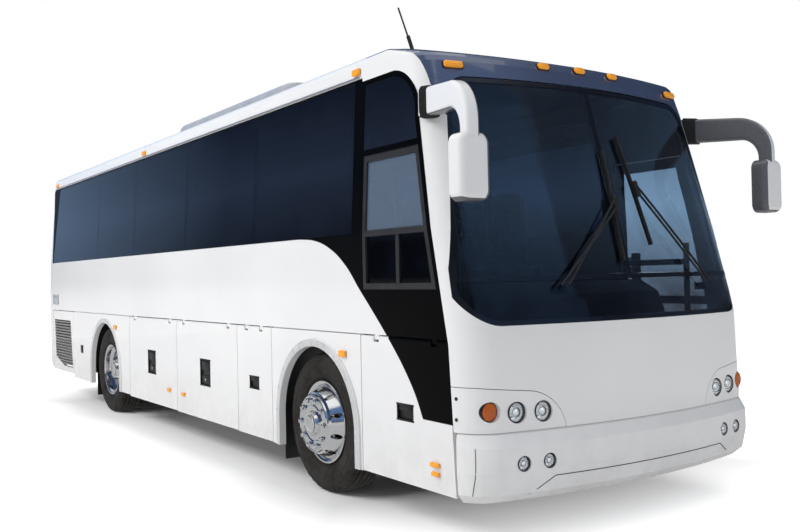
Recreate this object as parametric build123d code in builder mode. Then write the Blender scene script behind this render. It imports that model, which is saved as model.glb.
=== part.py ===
# Shuttle bus with right-hand drive: a mid-length coach on two axles.
# Front faces -Y, the bus's left is +X, +Z is up and the ground is Z 0.
import os
from math import cos, degrees, radians, sin

from build123d import *

os.makedirs("parts", exist_ok=True)

# Overall body
BODY_LENGTH = 10100
BODY_WIDTH = 2550
FRONT_OVERHANG = 2000
WHEELBASE = 5200
HALF = BODY_WIDTH / 2
FRONT_Y = -BODY_LENGTH / 2
REAR_Y = BODY_LENGTH / 2
FRONT_AXLE_Y = FRONT_Y + FRONT_OVERHANG
REAR_AXLE_Y = FRONT_AXLE_Y + WHEELBASE

# Heights above the ground
SKIRT_Z = 270
BELT_Z = 1177
SILL_Z = 1840
HEADER_Z = 2895
CROWN_Z = 3108
DECK_Z = 1195
CAB_FLOOR_Z = 860
BAY_FLOOR_Z = 330
FASCIA_Z = 652
MASK_TOP_Z = 2530

# Wall build
LEAN = 60
WALL = 60
ROOF_THICK = 50
DOOR_THICK = 30
GLASS_THICK = 10
GAP = 8
SEAT_GAP = 0.3
RUN_GAP = 0.05
SWING_GAP = 6

# Seams along the right and left sides, from the front axle
B_POST_Y = FRONT_AXLE_Y - 642
SEAM_D_Y = FRONT_AXLE_Y + 700
SEAM_C_Y = FRONT_AXLE_Y + 1356
SEAM_B_Y = FRONT_AXLE_Y + 2797
SEAM_A_Y = FRONT_AXLE_Y + 4270
ENGINE_SEAM_Y = FRONT_AXLE_Y + 6640
REAR_SEAM_Y = FRONT_AXLE_Y + 7745

# Wheels
TYRE_R = 506
TYRE_WIDTH = 280
BEAD_R = 286
FLANGE_R = 298
TRACK_X = 1090
TWIN_PITCH = 325
KINGPIN_X = 930
ARCH_R = 557
HUB_FACE_X = HALF + 22

# Front nose in plan: a wide arc with rounded corners
NOSE_R = 5000
TAIL_R = 8000


def cross_plane(y):
    """Plane across the bus whose sketch axes are X and Z."""
    return Plane(origin=(0, y, 0), x_dir=(1, 0, 0), z_dir=(0, -1, 0))


def keep(builder, name):
    """Label a finished piece and write it."""
    builder.part.label = name
    export_step(builder.part, f"parts/{name}.step")


# Body cross-section, used for the roof, the front dome and the tail
EAVE_X = 1211
EAVE_Z = 2985
CROWN_X = 1128
CROWN_EDGE_Z = 3052


def section_face(inset, foot):
    """Body cross-section drawn in by an inset, on a foot outline given for the left half."""
    eave_x = EAVE_X - inset
    shoulder_x = EAVE_X - 23 - 0.72 * inset
    crown_x = CROWN_X - 0.3 * inset
    with BuildSketch() as section:
        with BuildLine():
            Polyline((0, 0), *foot, (eave_x, EAVE_Z))
            ThreePointArc(
                (eave_x, EAVE_Z),
                (shoulder_x, CROWN_EDGE_Z - 22 - 0.72 * inset),
                (crown_x, CROWN_EDGE_Z - inset),
            )
            crown_mid = (CROWN_X / 2, CROWN_Z - 14 - inset)
            ThreePointArc((crown_x, CROWN_EDGE_Z - inset), crown_mid, (0, CROWN_Z - inset))
            Line((0, CROWN_Z - inset), (0, 0))
        make_face()
        mirror(about=Plane.YZ)
    return section.sketch


def body_section(inset):
    """Outline of the body across the bus, drawn in by an inset."""
    wide = HALF - inset
    return section_face(inset, ((wide, 0), (wide, SILL_Z), (wide - LEAN, HEADER_Z)))


def crown_prism(inset):
    """Solid bar under the roof crown, wider and longer than the bus."""
    wide = HALF + 300
    with BuildPart() as prism:
        with BuildSketch(cross_plane(REAR_Y + 200)):
            add(section_face(inset, ((wide, 0), (wide, EAVE_Z))))
        extrude(amount=BODY_LENGTH + 400)
    return prism.part


# Nose sections: height, setback behind the bumper, half width, corner radius
NOSE_SECTIONS = (
    (SKIRT_Z - 20, 62, HALF, 230),
    (700, 48, HALF, 230),
    (1260, 75, HALF, 230),
    (1400, 105, HALF, 225),
    (SILL_Z, 232, HALF, 215),
    (2715, 483, HALF - 50, 195),
    (2890, 546, HALF - 60, 190),
    (2925, 566, HALF - 61, 190),
    (2948, 594, HALF - 61, 190),
    (2962, 632, HALF - 62, 190),
    (2990, 722, HALF - 63, 190),
    (3024, 850, HALF - 65, 190),
    (3060, 1020, HALF - 67, 190),
    (3120, 1340, HALF - 70, 190),
)

# Tail sections: height, setback from the rearmost point, half width, corner radius
TAIL_SECTIONS = (
    (SKIRT_Z, 75, HALF, 170),
    (760, 20, HALF, 170),
    (1200, 0, HALF, 170),
    (SILL_Z, 50, HALF, 170),
    (HEADER_Z, 165, HALF - 60, 160),
    (2960, 185, HALF - 61, 160),
    (3015, 222, HALF - 63, 160),
    (3058, 275, HALF - 66, 160),
    (3088, 345, HALF - 68, 160),
    (3120, 480, HALF - 70, 160),
)


def envelope(sections, end, bow, inset, back):
    """Loft of plan outlines: bowed end, rounded corners, straight sides."""
    with BuildPart() as solid:
        for z, setback, half, corner in sections:
            low = z - 30 if inset and z == sections[0][0] else z
            wide = half - inset
            sag = bow - (bow**2 - wide**2) ** 0.5
            tip = end * (REAR_Y - setback - inset)
            side = end * (REAR_Y - setback - inset - sag)
            with BuildSketch(Plane.XY.offset(low)) as outline:
                with BuildLine():
                    ThreePointArc((-wide, side), (0, tip), (wide, side))
                    Polyline((wide, side), (wide, back), (-wide, back), (-wide, side))
                make_face()
                corners = outline.vertices().group_by(Axis.Y)
                fillet(corners[0] if end < 0 else corners[-1], corner - inset)
        loft(ruled=True)
    return solid.part


NOSE_BACK_Y = B_POST_Y + 600
TAIL_BACK_Y = REAR_SEAM_Y - 600


def shell(sections, end, bow, back, outer, inner):
    """Bowed wall between two insets of an envelope, trimmed by the body section."""
    with BuildPart() as wall:
        add(envelope(sections, end, bow, outer, back))
        add(crown_prism(outer), mode=Mode.INTERSECT)
        with BuildPart(mode=Mode.PRIVATE) as hollow:
            add(envelope(sections, end, bow, inner, back))
            add(crown_prism(inner), mode=Mode.INTERSECT)
        add(hollow.part, mode=Mode.SUBTRACT)
    return wall.part


def nose_shell(outer, inner):
    """Front wall between two insets, cut off at the B post."""
    with BuildPart() as wall:
        add(shell(NOSE_SECTIONS, -1, NOSE_R, NOSE_BACK_Y, outer, inner))
        split(bisect_by=Plane(origin=(0, B_POST_Y + GAP / 2 - SEAT_GAP, 0), z_dir=(0, -1, 0)), keep=Keep.TOP)
    return wall.part


# Side view of the cab side: pillar line, B post and the curved top of the cab window
PILLAR_LOW_Y = FRONT_AXLE_Y - 1655
PILLAR_BELT_Y = FRONT_AXLE_Y - 1600
PILLAR_MID_Y = FRONT_AXLE_Y - 1440
PILLAR_TOP_Y = FRONT_AXLE_Y - 1300
CAB_CURVE_Y = FRONT_AXLE_Y - 1010
CAB_TOP_Z = 2868


def cab_side(margin):
    """Cab side outline in side view, grown by a margin."""
    with BuildSketch() as outline:
        with BuildLine():
            Polyline((B_POST_Y, CAB_TOP_Z), (B_POST_Y, SKIRT_Z), (PILLAR_LOW_Y, SKIRT_Z), (PILLAR_BELT_Y, 1150))
            ThreePointArc((PILLAR_BELT_Y, 1150), (PILLAR_MID_Y, 1900), (PILLAR_TOP_Y, MASK_TOP_Z))
            ThreePointArc((PILLAR_TOP_Y, MASK_TOP_Z), (PILLAR_TOP_Y + 72, 2752), (CAB_CURVE_Y, CAB_TOP_Z))
            Line((CAB_CURVE_Y, CAB_TOP_Z), (B_POST_Y, CAB_TOP_Z))
        make_face()
        if margin:
            offset(amount=margin, kind=Kind.INTERSECTION)
    return outline.sketch


def side_prism(outline):
    """Side-view outline carried right across the bus."""
    with BuildPart() as prism:
        with BuildSketch(Plane.YZ):
            add(outline)
        extrude(amount=2 * HALF, both=True)
    return prism.part


def front_prism(outline, y_near, y_far):
    """Front-view outline carried from one station to another."""
    with BuildPart() as prism:
        with BuildSketch(cross_plane(y_far)):
            add(outline)
        extrude(amount=y_far - y_near)
    return prism.part


def wall_strip(side, outer, inner):
    """Section of the leaning side wall between two insets."""
    with BuildSketch() as strip:
        with BuildLine():
            Polyline(
                (side * (HALF - outer), 0),
                (side * (HALF - outer), SILL_Z),
                (side * (HALF - outer - LEAN), HEADER_Z),
                (side * (HALF - outer - LEAN - 5), HEADER_Z + 88),
                (side * (HALF - inner - LEAN - 5), HEADER_Z + 88),
                (side * (HALF - inner - LEAN), HEADER_Z),
                (side * (HALF - inner), SILL_Z),
                (side * (HALF - inner), 0),
                close=True,
            )
        make_face()
    return strip.sketch


def side_piece(side, outer, inner, outline):
    """Piece of the side wall: a side-view outline between two insets."""
    with BuildPart() as piece:
        with BuildSketch(Plane.YZ):
            add(outline)
        extrude(amount=side * 2 * HALF)
        with BuildSketch(cross_plane(REAR_Y + 100)):
            add(wall_strip(side, outer, inner))
        extrude(amount=BODY_LENGTH + 200, mode=Mode.INTERSECT)
    return piece.part


def side_box(y0, y1, z0, z1):
    """Rectangle in side view."""
    with BuildSketch() as box:
        with Locations(((y0 + y1) / 2, (z0 + z1) / 2)):
            Rectangle(y1 - y0, z1 - z0)
    return box.sketch


# Windscreen outline in front view
SCREEN_LOW_Z = 1258
SCREEN_TOP_Z = 2792
SCREEN_LOW_X = 1303
SCREEN_TOP_X = 1085
SCREEN_BAR_Z = 1530
FRAME_WIDTH = 30
PILLAR_WIDTH = 84


def screen_outline(margin):
    """Windscreen opening in front view, grown by a margin."""
    with BuildSketch() as outline:
        with BuildLine():
            Line((-SCREEN_LOW_X, SCREEN_LOW_Z), (SCREEN_LOW_X, SCREEN_LOW_Z))
            Line((SCREEN_LOW_X, SCREEN_LOW_Z), (SCREEN_TOP_X, SCREEN_TOP_Z - 14))
            top_end = SCREEN_TOP_Z - 14
            ThreePointArc((SCREEN_TOP_X, top_end), (0, SCREEN_TOP_Z), (-SCREEN_TOP_X, top_end))
            Line((-SCREEN_TOP_X, SCREEN_TOP_Z - 14), (-SCREEN_LOW_X, SCREEN_LOW_Z))
        make_face()
        fillet(outline.vertices().group_by(Axis.Y)[0], 230)
        fillet(outline.vertices().group_by(Axis.Y)[-1], 170)
        if margin:
            offset(amount=margin)
    return outline.sketch


def cap_outline(margin):
    """Dark roof cap in front view, grown by a margin."""
    with BuildSketch() as outline:
        with BuildLine():
            Polyline((0, 2600), (1050, 2600), (1168, 2725))
            ThreePointArc((1168, 2725), (1174, 2830), (1190, 2930))
            Polyline((1190, 2930), (1190, 3300), (0, 3300), (0, 2600))
        make_face()
        mirror(about=Plane.YZ)
        if margin:
            offset(amount=margin, kind=Kind.INTERSECTION)
    return outline.sketch


LAMP_PANEL_X = 642
LAMP_PANEL_TOP_Z = 910


def lamp_panel_outline(side, margin):
    """Headlamp panel in front view, grown by a margin."""
    with BuildSketch() as outline:
        with BuildLine():
            ThreePointArc(
                (side * LAMP_PANEL_X, FASCIA_Z - 40),
                (side * (LAMP_PANEL_X + 80), FASCIA_Z + 150),
                (side * (LAMP_PANEL_X + 224), LAMP_PANEL_TOP_Z - 34),
            )
            Polyline(
                (side * (LAMP_PANEL_X + 224), LAMP_PANEL_TOP_Z - 34),
                (side * (LAMP_PANEL_X + 560), LAMP_PANEL_TOP_Z),
                (side * (HALF + 60), LAMP_PANEL_TOP_Z + 5),
                (side * (HALF + 60), FASCIA_Z - 40),
                (side * LAMP_PANEL_X, FASCIA_Z - 40),
            )
        make_face()
        if margin:
            offset(amount=margin, kind=Kind.INTERSECTION)
    return outline.sketch


NOSE_FAR_Y = B_POST_Y + 700
NOSE_NEAR_Y = FRONT_Y - 300
nose_wall = nose_shell(0, WALL)
cab_cut = side_prism(cab_side(GAP / 2))


def screen_prism(margin):
    """Windscreen opening ahead of the A pillars, grown by a margin."""
    with BuildPart() as prism:
        add(front_prism(screen_outline(margin), NOSE_NEAR_Y, NOSE_FAR_Y))
        add(side_prism(cab_side(PILLAR_WIDTH - margin)), mode=Mode.SUBTRACT)
    return prism.part


screen_cut = screen_prism(0)
screen_gap_cut = screen_prism(GAP)
cap_bar = front_prism(cap_outline(0), NOSE_NEAR_Y, NOSE_FAR_Y)
cap_cut = front_prism(cap_outline(SEAT_GAP), NOSE_NEAR_Y, NOSE_FAR_Y)


def half_space(z0, z1):
    """Slab of height, wider and longer than the bus."""
    with BuildPart() as slab:
        with Locations((0, 0, z0)):
            Box(3 * HALF, BODY_LENGTH + 2000, z1 - z0, align=(Align.CENTER, Align.CENTER, Align.MIN))
    return slab.part


# Front lamps: kind, X, Z, lens radius; each is mirrored
FRONT_LAMPS = (
    ("head", 977, 760, 62),
    ("head", 802, 755, 62),
    ("turn", 1140, 772, 58),
    ("fog", 975, 474, 45),
    ("fog", 804, 476, 45),
)


def nose_y(x, z, kind="nose"):
    """Station of the nose or bumper face at a point in front view."""
    bow = NOSE_R - (NOSE_R**2 - x**2) ** 0.5
    if kind == "fog":
        return FRONT_Y + bow
    rows = [(row[0], row[1]) for row in NOSE_SECTIONS]
    for (za, sa), (zb, sb) in zip(rows, rows[1:]):
        if za <= z <= zb:
            setback = sa + (sb - sa) * (z - za) / (zb - za)
    corner = max(0, abs(x) - (HALF - 230))
    return FRONT_Y + setback + bow + 230 - (230**2 - corner**2) ** 0.5


def lamp_holes(kinds):
    """Round bores for the front lamps, along Y."""
    with BuildPart() as holes:
        for kind, x, z, radius in FRONT_LAMPS:
            if kind in kinds:
                for side in (-1, 1):
                    with Locations(Plane(origin=(side * x, nose_y(x, z, kind) - 200, z), z_dir=(0, 1, 0))):
                        Cylinder(radius + SEAT_GAP, 500, align=(Align.CENTER, Align.CENTER, Align.MIN))
    return holes.part


panel_holes = lamp_holes(("head", "turn"))
bumper_holes = lamp_holes(("fog",))

# Front mask: white fascia, A pillars and the lamp panels let into it
with BuildPart() as front_mask:
    add(nose_wall)
    add(half_space(MASK_TOP_Z - SEAT_GAP, CROWN_Z + 500), mode=Mode.SUBTRACT)
    add(half_space(-500, FASCIA_Z), mode=Mode.SUBTRACT)
    add(cab_cut, mode=Mode.SUBTRACT)
    add(screen_cut, mode=Mode.SUBTRACT)
    for side in (-1, 1):
        add(front_prism(lamp_panel_outline(side, 2), NOSE_NEAR_Y, NOSE_FAR_Y), mode=Mode.SUBTRACT)
keep(front_mask, "front_mask")

with BuildPart() as lamp_panels:
    for side in (-1, 1):
        with BuildPart(mode=Mode.PRIVATE) as lamp_panel:
            add(nose_wall)
            add(front_prism(lamp_panel_outline(side, -2), NOSE_NEAR_Y, NOSE_FAR_Y), mode=Mode.INTERSECT)
            add(half_space(-500, FASCIA_Z), mode=Mode.SUBTRACT)
            add(cab_cut, mode=Mode.SUBTRACT)
            add(panel_holes, mode=Mode.SUBTRACT)
        add(lamp_panel.part)
keep(lamp_panels, "lamp_panels")

# Dark cap above the windscreen and the white corners beside it
with BuildPart() as roof_cap:
    add(nose_wall)
    add(cap_bar, mode=Mode.INTERSECT)
    add(screen_gap_cut, mode=Mode.SUBTRACT)
    add(half_space(-500, MASK_TOP_Z), mode=Mode.SUBTRACT)
    add(cab_cut, mode=Mode.SUBTRACT)
keep(roof_cap, "roof_cap")

with BuildPart() as roof_corners:
    add(nose_wall)
    add(half_space(-500, MASK_TOP_Z), mode=Mode.SUBTRACT)
    add(cab_cut, mode=Mode.SUBTRACT)
    add(cap_cut, mode=Mode.SUBTRACT)
    add(screen_gap_cut, mode=Mode.SUBTRACT)
keep(roof_corners, "roof_corners")

# Front bumper: bevelled shell with fog lamp bores and a lower panel groove
BUMPER_SECTIONS = (
    (SKIRT_Z - 22, 95, HALF - 25, 215),
    (300, 30, HALF - 4, 230),
    (430, 0, HALF, 230),
    (572, 0, HALF, 230),
    (FASCIA_Z - 12, 44, HALF, 230),
    (FASCIA_Z - SEAT_GAP, 66, HALF - 14, 225),
)


def bumper_bar(sections, end, bow, back):
    """Bumper shell open at the back and below."""
    with BuildPart() as bar:
        add(envelope(sections, end, bow, 0, back))
        with BuildPart(mode=Mode.PRIVATE) as inside:
            add(envelope(sections, end, bow, 40, back))
        add(inside.part, mode=Mode.SUBTRACT)
    return bar.part


with BuildPart() as front_bumper:
    add(bumper_bar(BUMPER_SECTIONS, -1, NOSE_R, NOSE_BACK_Y))
    split(bisect_by=Plane(origin=(0, PILLAR_LOW_Y - GAP / 2, 0), z_dir=(0, -1, 0)), keep=Keep.TOP)
    add(bumper_holes, mode=Mode.SUBTRACT)
keep(front_bumper, "front_bumper")

# Windscreen: two panes and a dark lower panel in a black frame with a centre bar
DIVIDER_X = 20
BAR_HALF = 16
pane_layer = nose_shell(3, 3 + GLASS_THICK)
frame_layer = nose_shell(1, 34)


def pane_prism(x0, x1, z0, z1, margin):
    """One pane of the windscreen carried back along Y, grown by a margin."""
    with BuildPart() as prism:
        add(screen_prism(margin - FRAME_WIDTH))
        with BuildSketch(cross_plane(NOSE_FAR_Y)):
            with Locations(((x0 + x1) / 2, (z0 + z1) / 2)):
                Rectangle(x1 - x0 + 2 * margin, z1 - z0 + 2 * margin)
        extrude(amount=NOSE_FAR_Y - NOSE_NEAR_Y, mode=Mode.INTERSECT)
    return prism.part


# Windscreen panes: X range and Z range
SCREEN_PANES = (
    (-2 * HALF, -DIVIDER_X, SCREEN_BAR_Z + BAR_HALF, 2 * HEADER_Z),
    (DIVIDER_X, 2 * HALF, SCREEN_BAR_Z + BAR_HALF, 2 * HEADER_Z),
    (-2 * HALF, 2 * HALF, 0, SCREEN_BAR_Z - BAR_HALF),
)

with BuildPart() as windscreen:
    for x0, x1, z0, z1 in SCREEN_PANES:
        with BuildPart(mode=Mode.PRIVATE) as pane:
            add(pane_layer)
            add(pane_prism(x0, x1, z0, z1, 0), mode=Mode.INTERSECT)
        add(pane.part)
keep(windscreen, "windscreen")

with BuildPart() as windscreen_frame:
    add(frame_layer)
    add(screen_prism(-SEAT_GAP), mode=Mode.INTERSECT)
    for x0, x1, z0, z1 in SCREEN_PANES:
        add(pane_prism(x0, x1, z0, z1, SEAT_GAP), mode=Mode.SUBTRACT)
keep(windscreen_frame, "windscreen_frame")

# Side windows: seams of the flush glass band, from the front axle
PANE_SEAMS = (-552, 999, 2534, 4085, 5490, 7690)
BAND_LOW_Z = SILL_Z + 6
BAND_TOP_Z = HEADER_Z - 14
TAIL_SLANT = 240
PILLAR_HALF = 45


def pane_side(y0, y1, slant, margin):
    """One flush side pane in side view, drawn in by a margin."""
    with BuildSketch() as pane:
        with BuildLine():
            Polyline(
                (y0 + margin, BAND_LOW_Z + margin),
                (y1 - margin, BAND_LOW_Z + margin),
                (y1 - slant - margin, BAND_TOP_Z - margin),
                (y0 + margin, BAND_TOP_Z - margin),
                close=True,
            )
        make_face()
    return pane.sketch


side_panes = []
for index, (y0, y1) in enumerate(zip(PANE_SEAMS, PANE_SEAMS[1:])):
    slant = TAIL_SLANT if index == len(PANE_SEAMS) - 2 else 0
    side_panes.append((FRONT_AXLE_Y + y0, FRONT_AXLE_Y + y1, slant))

DOOR_TOP_Z = 2425

with BuildPart() as side_walls:
    for side in (-1, 1):
        with BuildPart(mode=Mode.PRIVATE) as wall:
            outline = side_box(B_POST_Y + GAP / 2, REAR_SEAM_Y - GAP / 2, BELT_Z + GAP / 2, HEADER_Z - SEAT_GAP)
            add(side_piece(side, 0, WALL, outline))
            for y0, y1, slant in side_panes:
                add(side_piece(side, -5, GLASS_THICK, pane_side(y0, y1, slant, -SEAT_GAP)), mode=Mode.SUBTRACT)
                add(side_piece(side, -5, WALL + 5, pane_side(y0, y1, slant, PILLAR_HALF)), mode=Mode.SUBTRACT)
        add(wall.part)
keep(side_walls, "side_walls")

# Cab panel on the driver's side with its window openings, and the header above the entry
CAB_SILL_Z = 1474
CAB_BAR_Z = 2360
CAB_EDGE = 34


def cab_opening(z0, z1, margin):
    """Part of the cab side outline between two heights, drawn in by a margin."""
    with BuildSketch() as opening:
        add(cab_side(-margin))
        add(side_box(FRONT_Y, B_POST_Y + 500, z0, z1), mode=Mode.INTERSECT)
    return opening.sketch


with BuildPart() as cab_panel:
    with BuildSketch(mode=Mode.PRIVATE) as cab_face:
        add(cab_side(GAP / 2 - SEAT_GAP))
        add(side_box(FRONT_Y, B_POST_Y + 500, BELT_Z + GAP / 2, CAB_TOP_Z + GAP), mode=Mode.INTERSECT)
    add(side_piece(-1, 0, WALL, cab_face.sketch))
    add(side_piece(-1, -5, WALL + 5, cab_opening(CAB_SILL_Z, CAB_BAR_Z, CAB_EDGE)), mode=Mode.SUBTRACT)
    add(side_piece(-1, -5, WALL + 5, cab_opening(CAB_BAR_Z + 40, CAB_TOP_Z, CAB_EDGE)), mode=Mode.SUBTRACT)
keep(cab_panel, "cab_panel")

with BuildPart() as entry_header:
    add(side_piece(1, 0, WALL, cab_opening(DOOR_TOP_Z + GAP, CAB_TOP_Z + GAP, SEAT_GAP - GAP / 2)))
keep(entry_header, "entry_header")

# Cab window frame: ring, mid bar and sliding-window bar
CAB_MID_Z = SILL_Z + 2
SLIDER_Y = FRONT_AXLE_Y - 1083
CAB_FRAME = 40
SLIDER_HALF = 18
SLIDER_GAP = SLIDER_HALF + SEAT_GAP
with BuildPart() as cab_window_frame:
    add(side_piece(-1, 4, 44, cab_opening(CAB_SILL_Z + SEAT_GAP, CAB_BAR_Z - SEAT_GAP, CAB_EDGE + SEAT_GAP)))
    upper = cab_opening(CAB_MID_Z + CAB_FRAME / 2, CAB_BAR_Z - CAB_FRAME, CAB_EDGE + CAB_FRAME)
    add(side_piece(-1, 0, 60, upper), mode=Mode.SUBTRACT)
    lower = cab_opening(CAB_SILL_Z + CAB_FRAME, CAB_MID_Z - CAB_FRAME / 2, CAB_EDGE + CAB_FRAME)
    add(side_piece(-1, 0, 60, lower), mode=Mode.SUBTRACT)
    slider = side_box(SLIDER_Y - SLIDER_HALF, SLIDER_Y + SLIDER_HALF, CAB_SILL_Z + 20, CAB_MID_Z)
    add(side_piece(-1, 10, 40, slider))
keep(cab_window_frame, "cab_window_frame")

# Fixed glass: side bands, cab panes and the back window
BACK_WINDOW_X = 900
BACK_WINDOW_LOW_Z = 1960
BACK_WINDOW_TOP_Z = 2700


def back_window(margin):
    """Back window in rear view, grown by a margin."""
    with BuildSketch() as window:
        with Locations((0, (BACK_WINDOW_LOW_Z + BACK_WINDOW_TOP_Z) / 2)):
            height = BACK_WINDOW_TOP_Z - BACK_WINDOW_LOW_Z
            RectangleRounded(2 * (BACK_WINDOW_X + margin), height + 2 * margin, 90)
    return window.sketch


def pane_opening(z0, z1):
    """Cab pane inside its frame, with the seat clearance all round."""
    return cab_opening(z0 + SEAT_GAP, z1 - SEAT_GAP, CAB_EDGE + CAB_FRAME + SEAT_GAP)


def tail_shell(outer, inner):
    """Rear wall between two insets, cut off at the rear seam."""
    with BuildPart() as wall:
        add(shell(TAIL_SECTIONS, 1, TAIL_R, TAIL_BACK_Y, outer, inner))
        split(bisect_by=Plane(origin=(0, REAR_SEAM_Y - GAP / 2 + SEAT_GAP, 0), z_dir=(0, 1, 0)), keep=Keep.TOP)
    return wall.part


with BuildPart() as body_glass:
    for side in (-1, 1):
        for y0, y1, slant in side_panes:
            add(side_piece(side, 0, GLASS_THICK, pane_side(y0, y1, slant, 3)))
    add(side_piece(-1, 18, 26, pane_opening(CAB_MID_Z + CAB_FRAME / 2, CAB_BAR_Z - CAB_FRAME)))
    lower = pane_opening(CAB_SILL_Z + CAB_FRAME, CAB_MID_Z - CAB_FRAME / 2)
    with BuildPart(mode=Mode.PRIVATE) as sliders:
        add(side_piece(-1, 20, 26, lower))
        meeting = side_box(SLIDER_Y - SLIDER_GAP, SLIDER_Y + SLIDER_GAP, 1000, 2000)
        add(side_piece(-1, 0, 60, meeting), mode=Mode.SUBTRACT)
    add(sliders.part)
    add(side_piece(-1, 2, 12, cab_opening(CAB_BAR_Z + 40 + SEAT_GAP, CAB_TOP_Z, CAB_EDGE + SEAT_GAP)))
    with BuildPart(mode=Mode.PRIVATE) as back_glass:
        add(tail_shell(4, 4 + GLASS_THICK))
        add(front_prism(back_window(0), TAIL_BACK_Y, REAR_Y + 300), mode=Mode.INTERSECT)
    add(back_glass.part)
keep(body_glass, "body_glass")

# Roof: shell of the body section from the B post to the tail
with BuildPart() as roof:
    with BuildSketch(cross_plane(REAR_Y + 100)):
        add(body_section(0))
        add(body_section(ROOF_THICK), mode=Mode.SUBTRACT)
        with Locations((0, HEADER_Z / 2)):
            Rectangle(3 * HALF, HEADER_Z, mode=Mode.SUBTRACT)
    extrude(amount=REAR_Y + 100 - B_POST_Y - GAP / 2)
    with BuildPart(mode=Mode.PRIVATE) as tail_limit:
        wide_tail = [(z, setback, half + 6, corner + 6) for z, setback, half, corner in TAIL_SECTIONS]
        add(envelope(wide_tail, 1, TAIL_R, 0, FRONT_Y))
    add(tail_limit.part, mode=Mode.INTERSECT)
keep(roof, "roof")

# Rear wall with the back window, the hatch opening and tail lamp bores
HATCH_X = 820
LUG_WIDTH = 40
HATCH_LOW_Z = 800
HATCH_TOP_Z = 1700
REAR_BUMPER_TOP_Z = 760
TAIL_LAMPS = (("stop", 1020, 1420), ("turn", 1020, 1270), ("tail", 1020, 1120))
TAIL_LAMP_R = 60


def hatch_outline(margin):
    """Engine hatch in rear view, grown by a margin."""
    with BuildSketch() as hatch:
        with Locations((0, (HATCH_LOW_Z + HATCH_TOP_Z) / 2)):
            RectangleRounded(2 * (HATCH_X + margin), HATCH_TOP_Z - HATCH_LOW_Z + 2 * margin, 40)
    return hatch.sketch


tail_wall = tail_shell(0, WALL)
with BuildPart() as rear_wall:
    add(tail_wall)
    add(half_space(-500, REAR_BUMPER_TOP_Z), mode=Mode.SUBTRACT)
    add(front_prism(back_window(SEAT_GAP), TAIL_BACK_Y, REAR_Y + 300), mode=Mode.SUBTRACT)
    add(front_prism(hatch_outline(0), TAIL_BACK_Y, REAR_Y + 300), mode=Mode.SUBTRACT)
    with BuildPart(mode=Mode.PRIVATE) as roof_room:
        add(half_space(HEADER_Z - SEAT_GAP, CROWN_Z + 300))
        with BuildSketch(cross_plane(REAR_Y + 200)):
            add(body_section(ROOF_THICK + SEAT_GAP))
        extrude(amount=BODY_LENGTH + 400, mode=Mode.SUBTRACT)
    add(roof_room.part, mode=Mode.SUBTRACT)
    for kind, x, z in TAIL_LAMPS:
        for side in (-1, 1):
            with Locations(Plane(origin=(side * x, REAR_Y - 400, z), z_dir=(0, 1, 0))):
                Cylinder(TAIL_LAMP_R + SEAT_GAP, 800, mode=Mode.SUBTRACT)
keep(rear_wall, "rear_wall")

REAR_BUMPER_SECTIONS = (
    (SKIRT_Z + 90, 55, HALF - 12, 150),
    (430, 0, HALF, 170),
    (690, 0, HALF, 170),
    (REAR_BUMPER_TOP_Z - 12, 34, HALF, 170),
    (REAR_BUMPER_TOP_Z - SEAT_GAP, 56, HALF - 12, 165),
)
with BuildPart() as rear_bumper:
    add(bumper_bar(REAR_BUMPER_SECTIONS, 1, TAIL_R, TAIL_BACK_Y))
    split(bisect_by=Plane(origin=(0, REAR_SEAM_Y - GAP / 2 + SEAT_GAP, 0), z_dir=(0, 1, 0)), keep=Keep.TOP)
keep(rear_bumper, "rear_bumper")

# Engine hatch in the rear wall, hinged along its top edge on outside knuckles
HATCH_AXIS_Y = REAR_Y - 22
HATCH_AXIS_Z = HATCH_TOP_Z - GAP / 2
HATCH_HINGE_X = 480
KNUCKLE_R = 13
LUG_REACH = 70
with BuildPart() as engine_hatch:
    add(tail_shell(0, DOOR_THICK))
    add(front_prism(hatch_outline(-GAP), TAIL_BACK_Y, REAR_Y + 300), mode=Mode.INTERSECT)
    for side in (-1, 1):
        for step in (-1, 1):
            x = side * HATCH_HINGE_X + step * (LUG_WIDTH + SWING_GAP)
            with Locations(Plane(origin=(x, HATCH_AXIS_Y, HATCH_AXIS_Z), z_dir=(1, 0, 0))):
                Cylinder(KNUCKLE_R, LUG_WIDTH)
            with Locations((x, HATCH_AXIS_Y, HATCH_AXIS_Z)):
                Box(LUG_WIDTH, 2 * KNUCKLE_R, LUG_REACH, align=(Align.CENTER, Align.CENTER, Align.MAX))
            with Locations((x, HATCH_AXIS_Y, HATCH_AXIS_Z - KNUCKLE_R)):
                Box(LUG_WIDTH, LUG_REACH, LUG_REACH - KNUCKLE_R, align=(Align.CENTER, Align.MAX, Align.MAX))
        with Locations(Plane(origin=(side * HATCH_HINGE_X, HATCH_AXIS_Y, HATCH_AXIS_Z), z_dir=(1, 0, 0))):
            Cylinder(6 + RUN_GAP, 5 * LUG_WIDTH, mode=Mode.SUBTRACT)
keep(engine_hatch, "engine_hatch")

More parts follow.
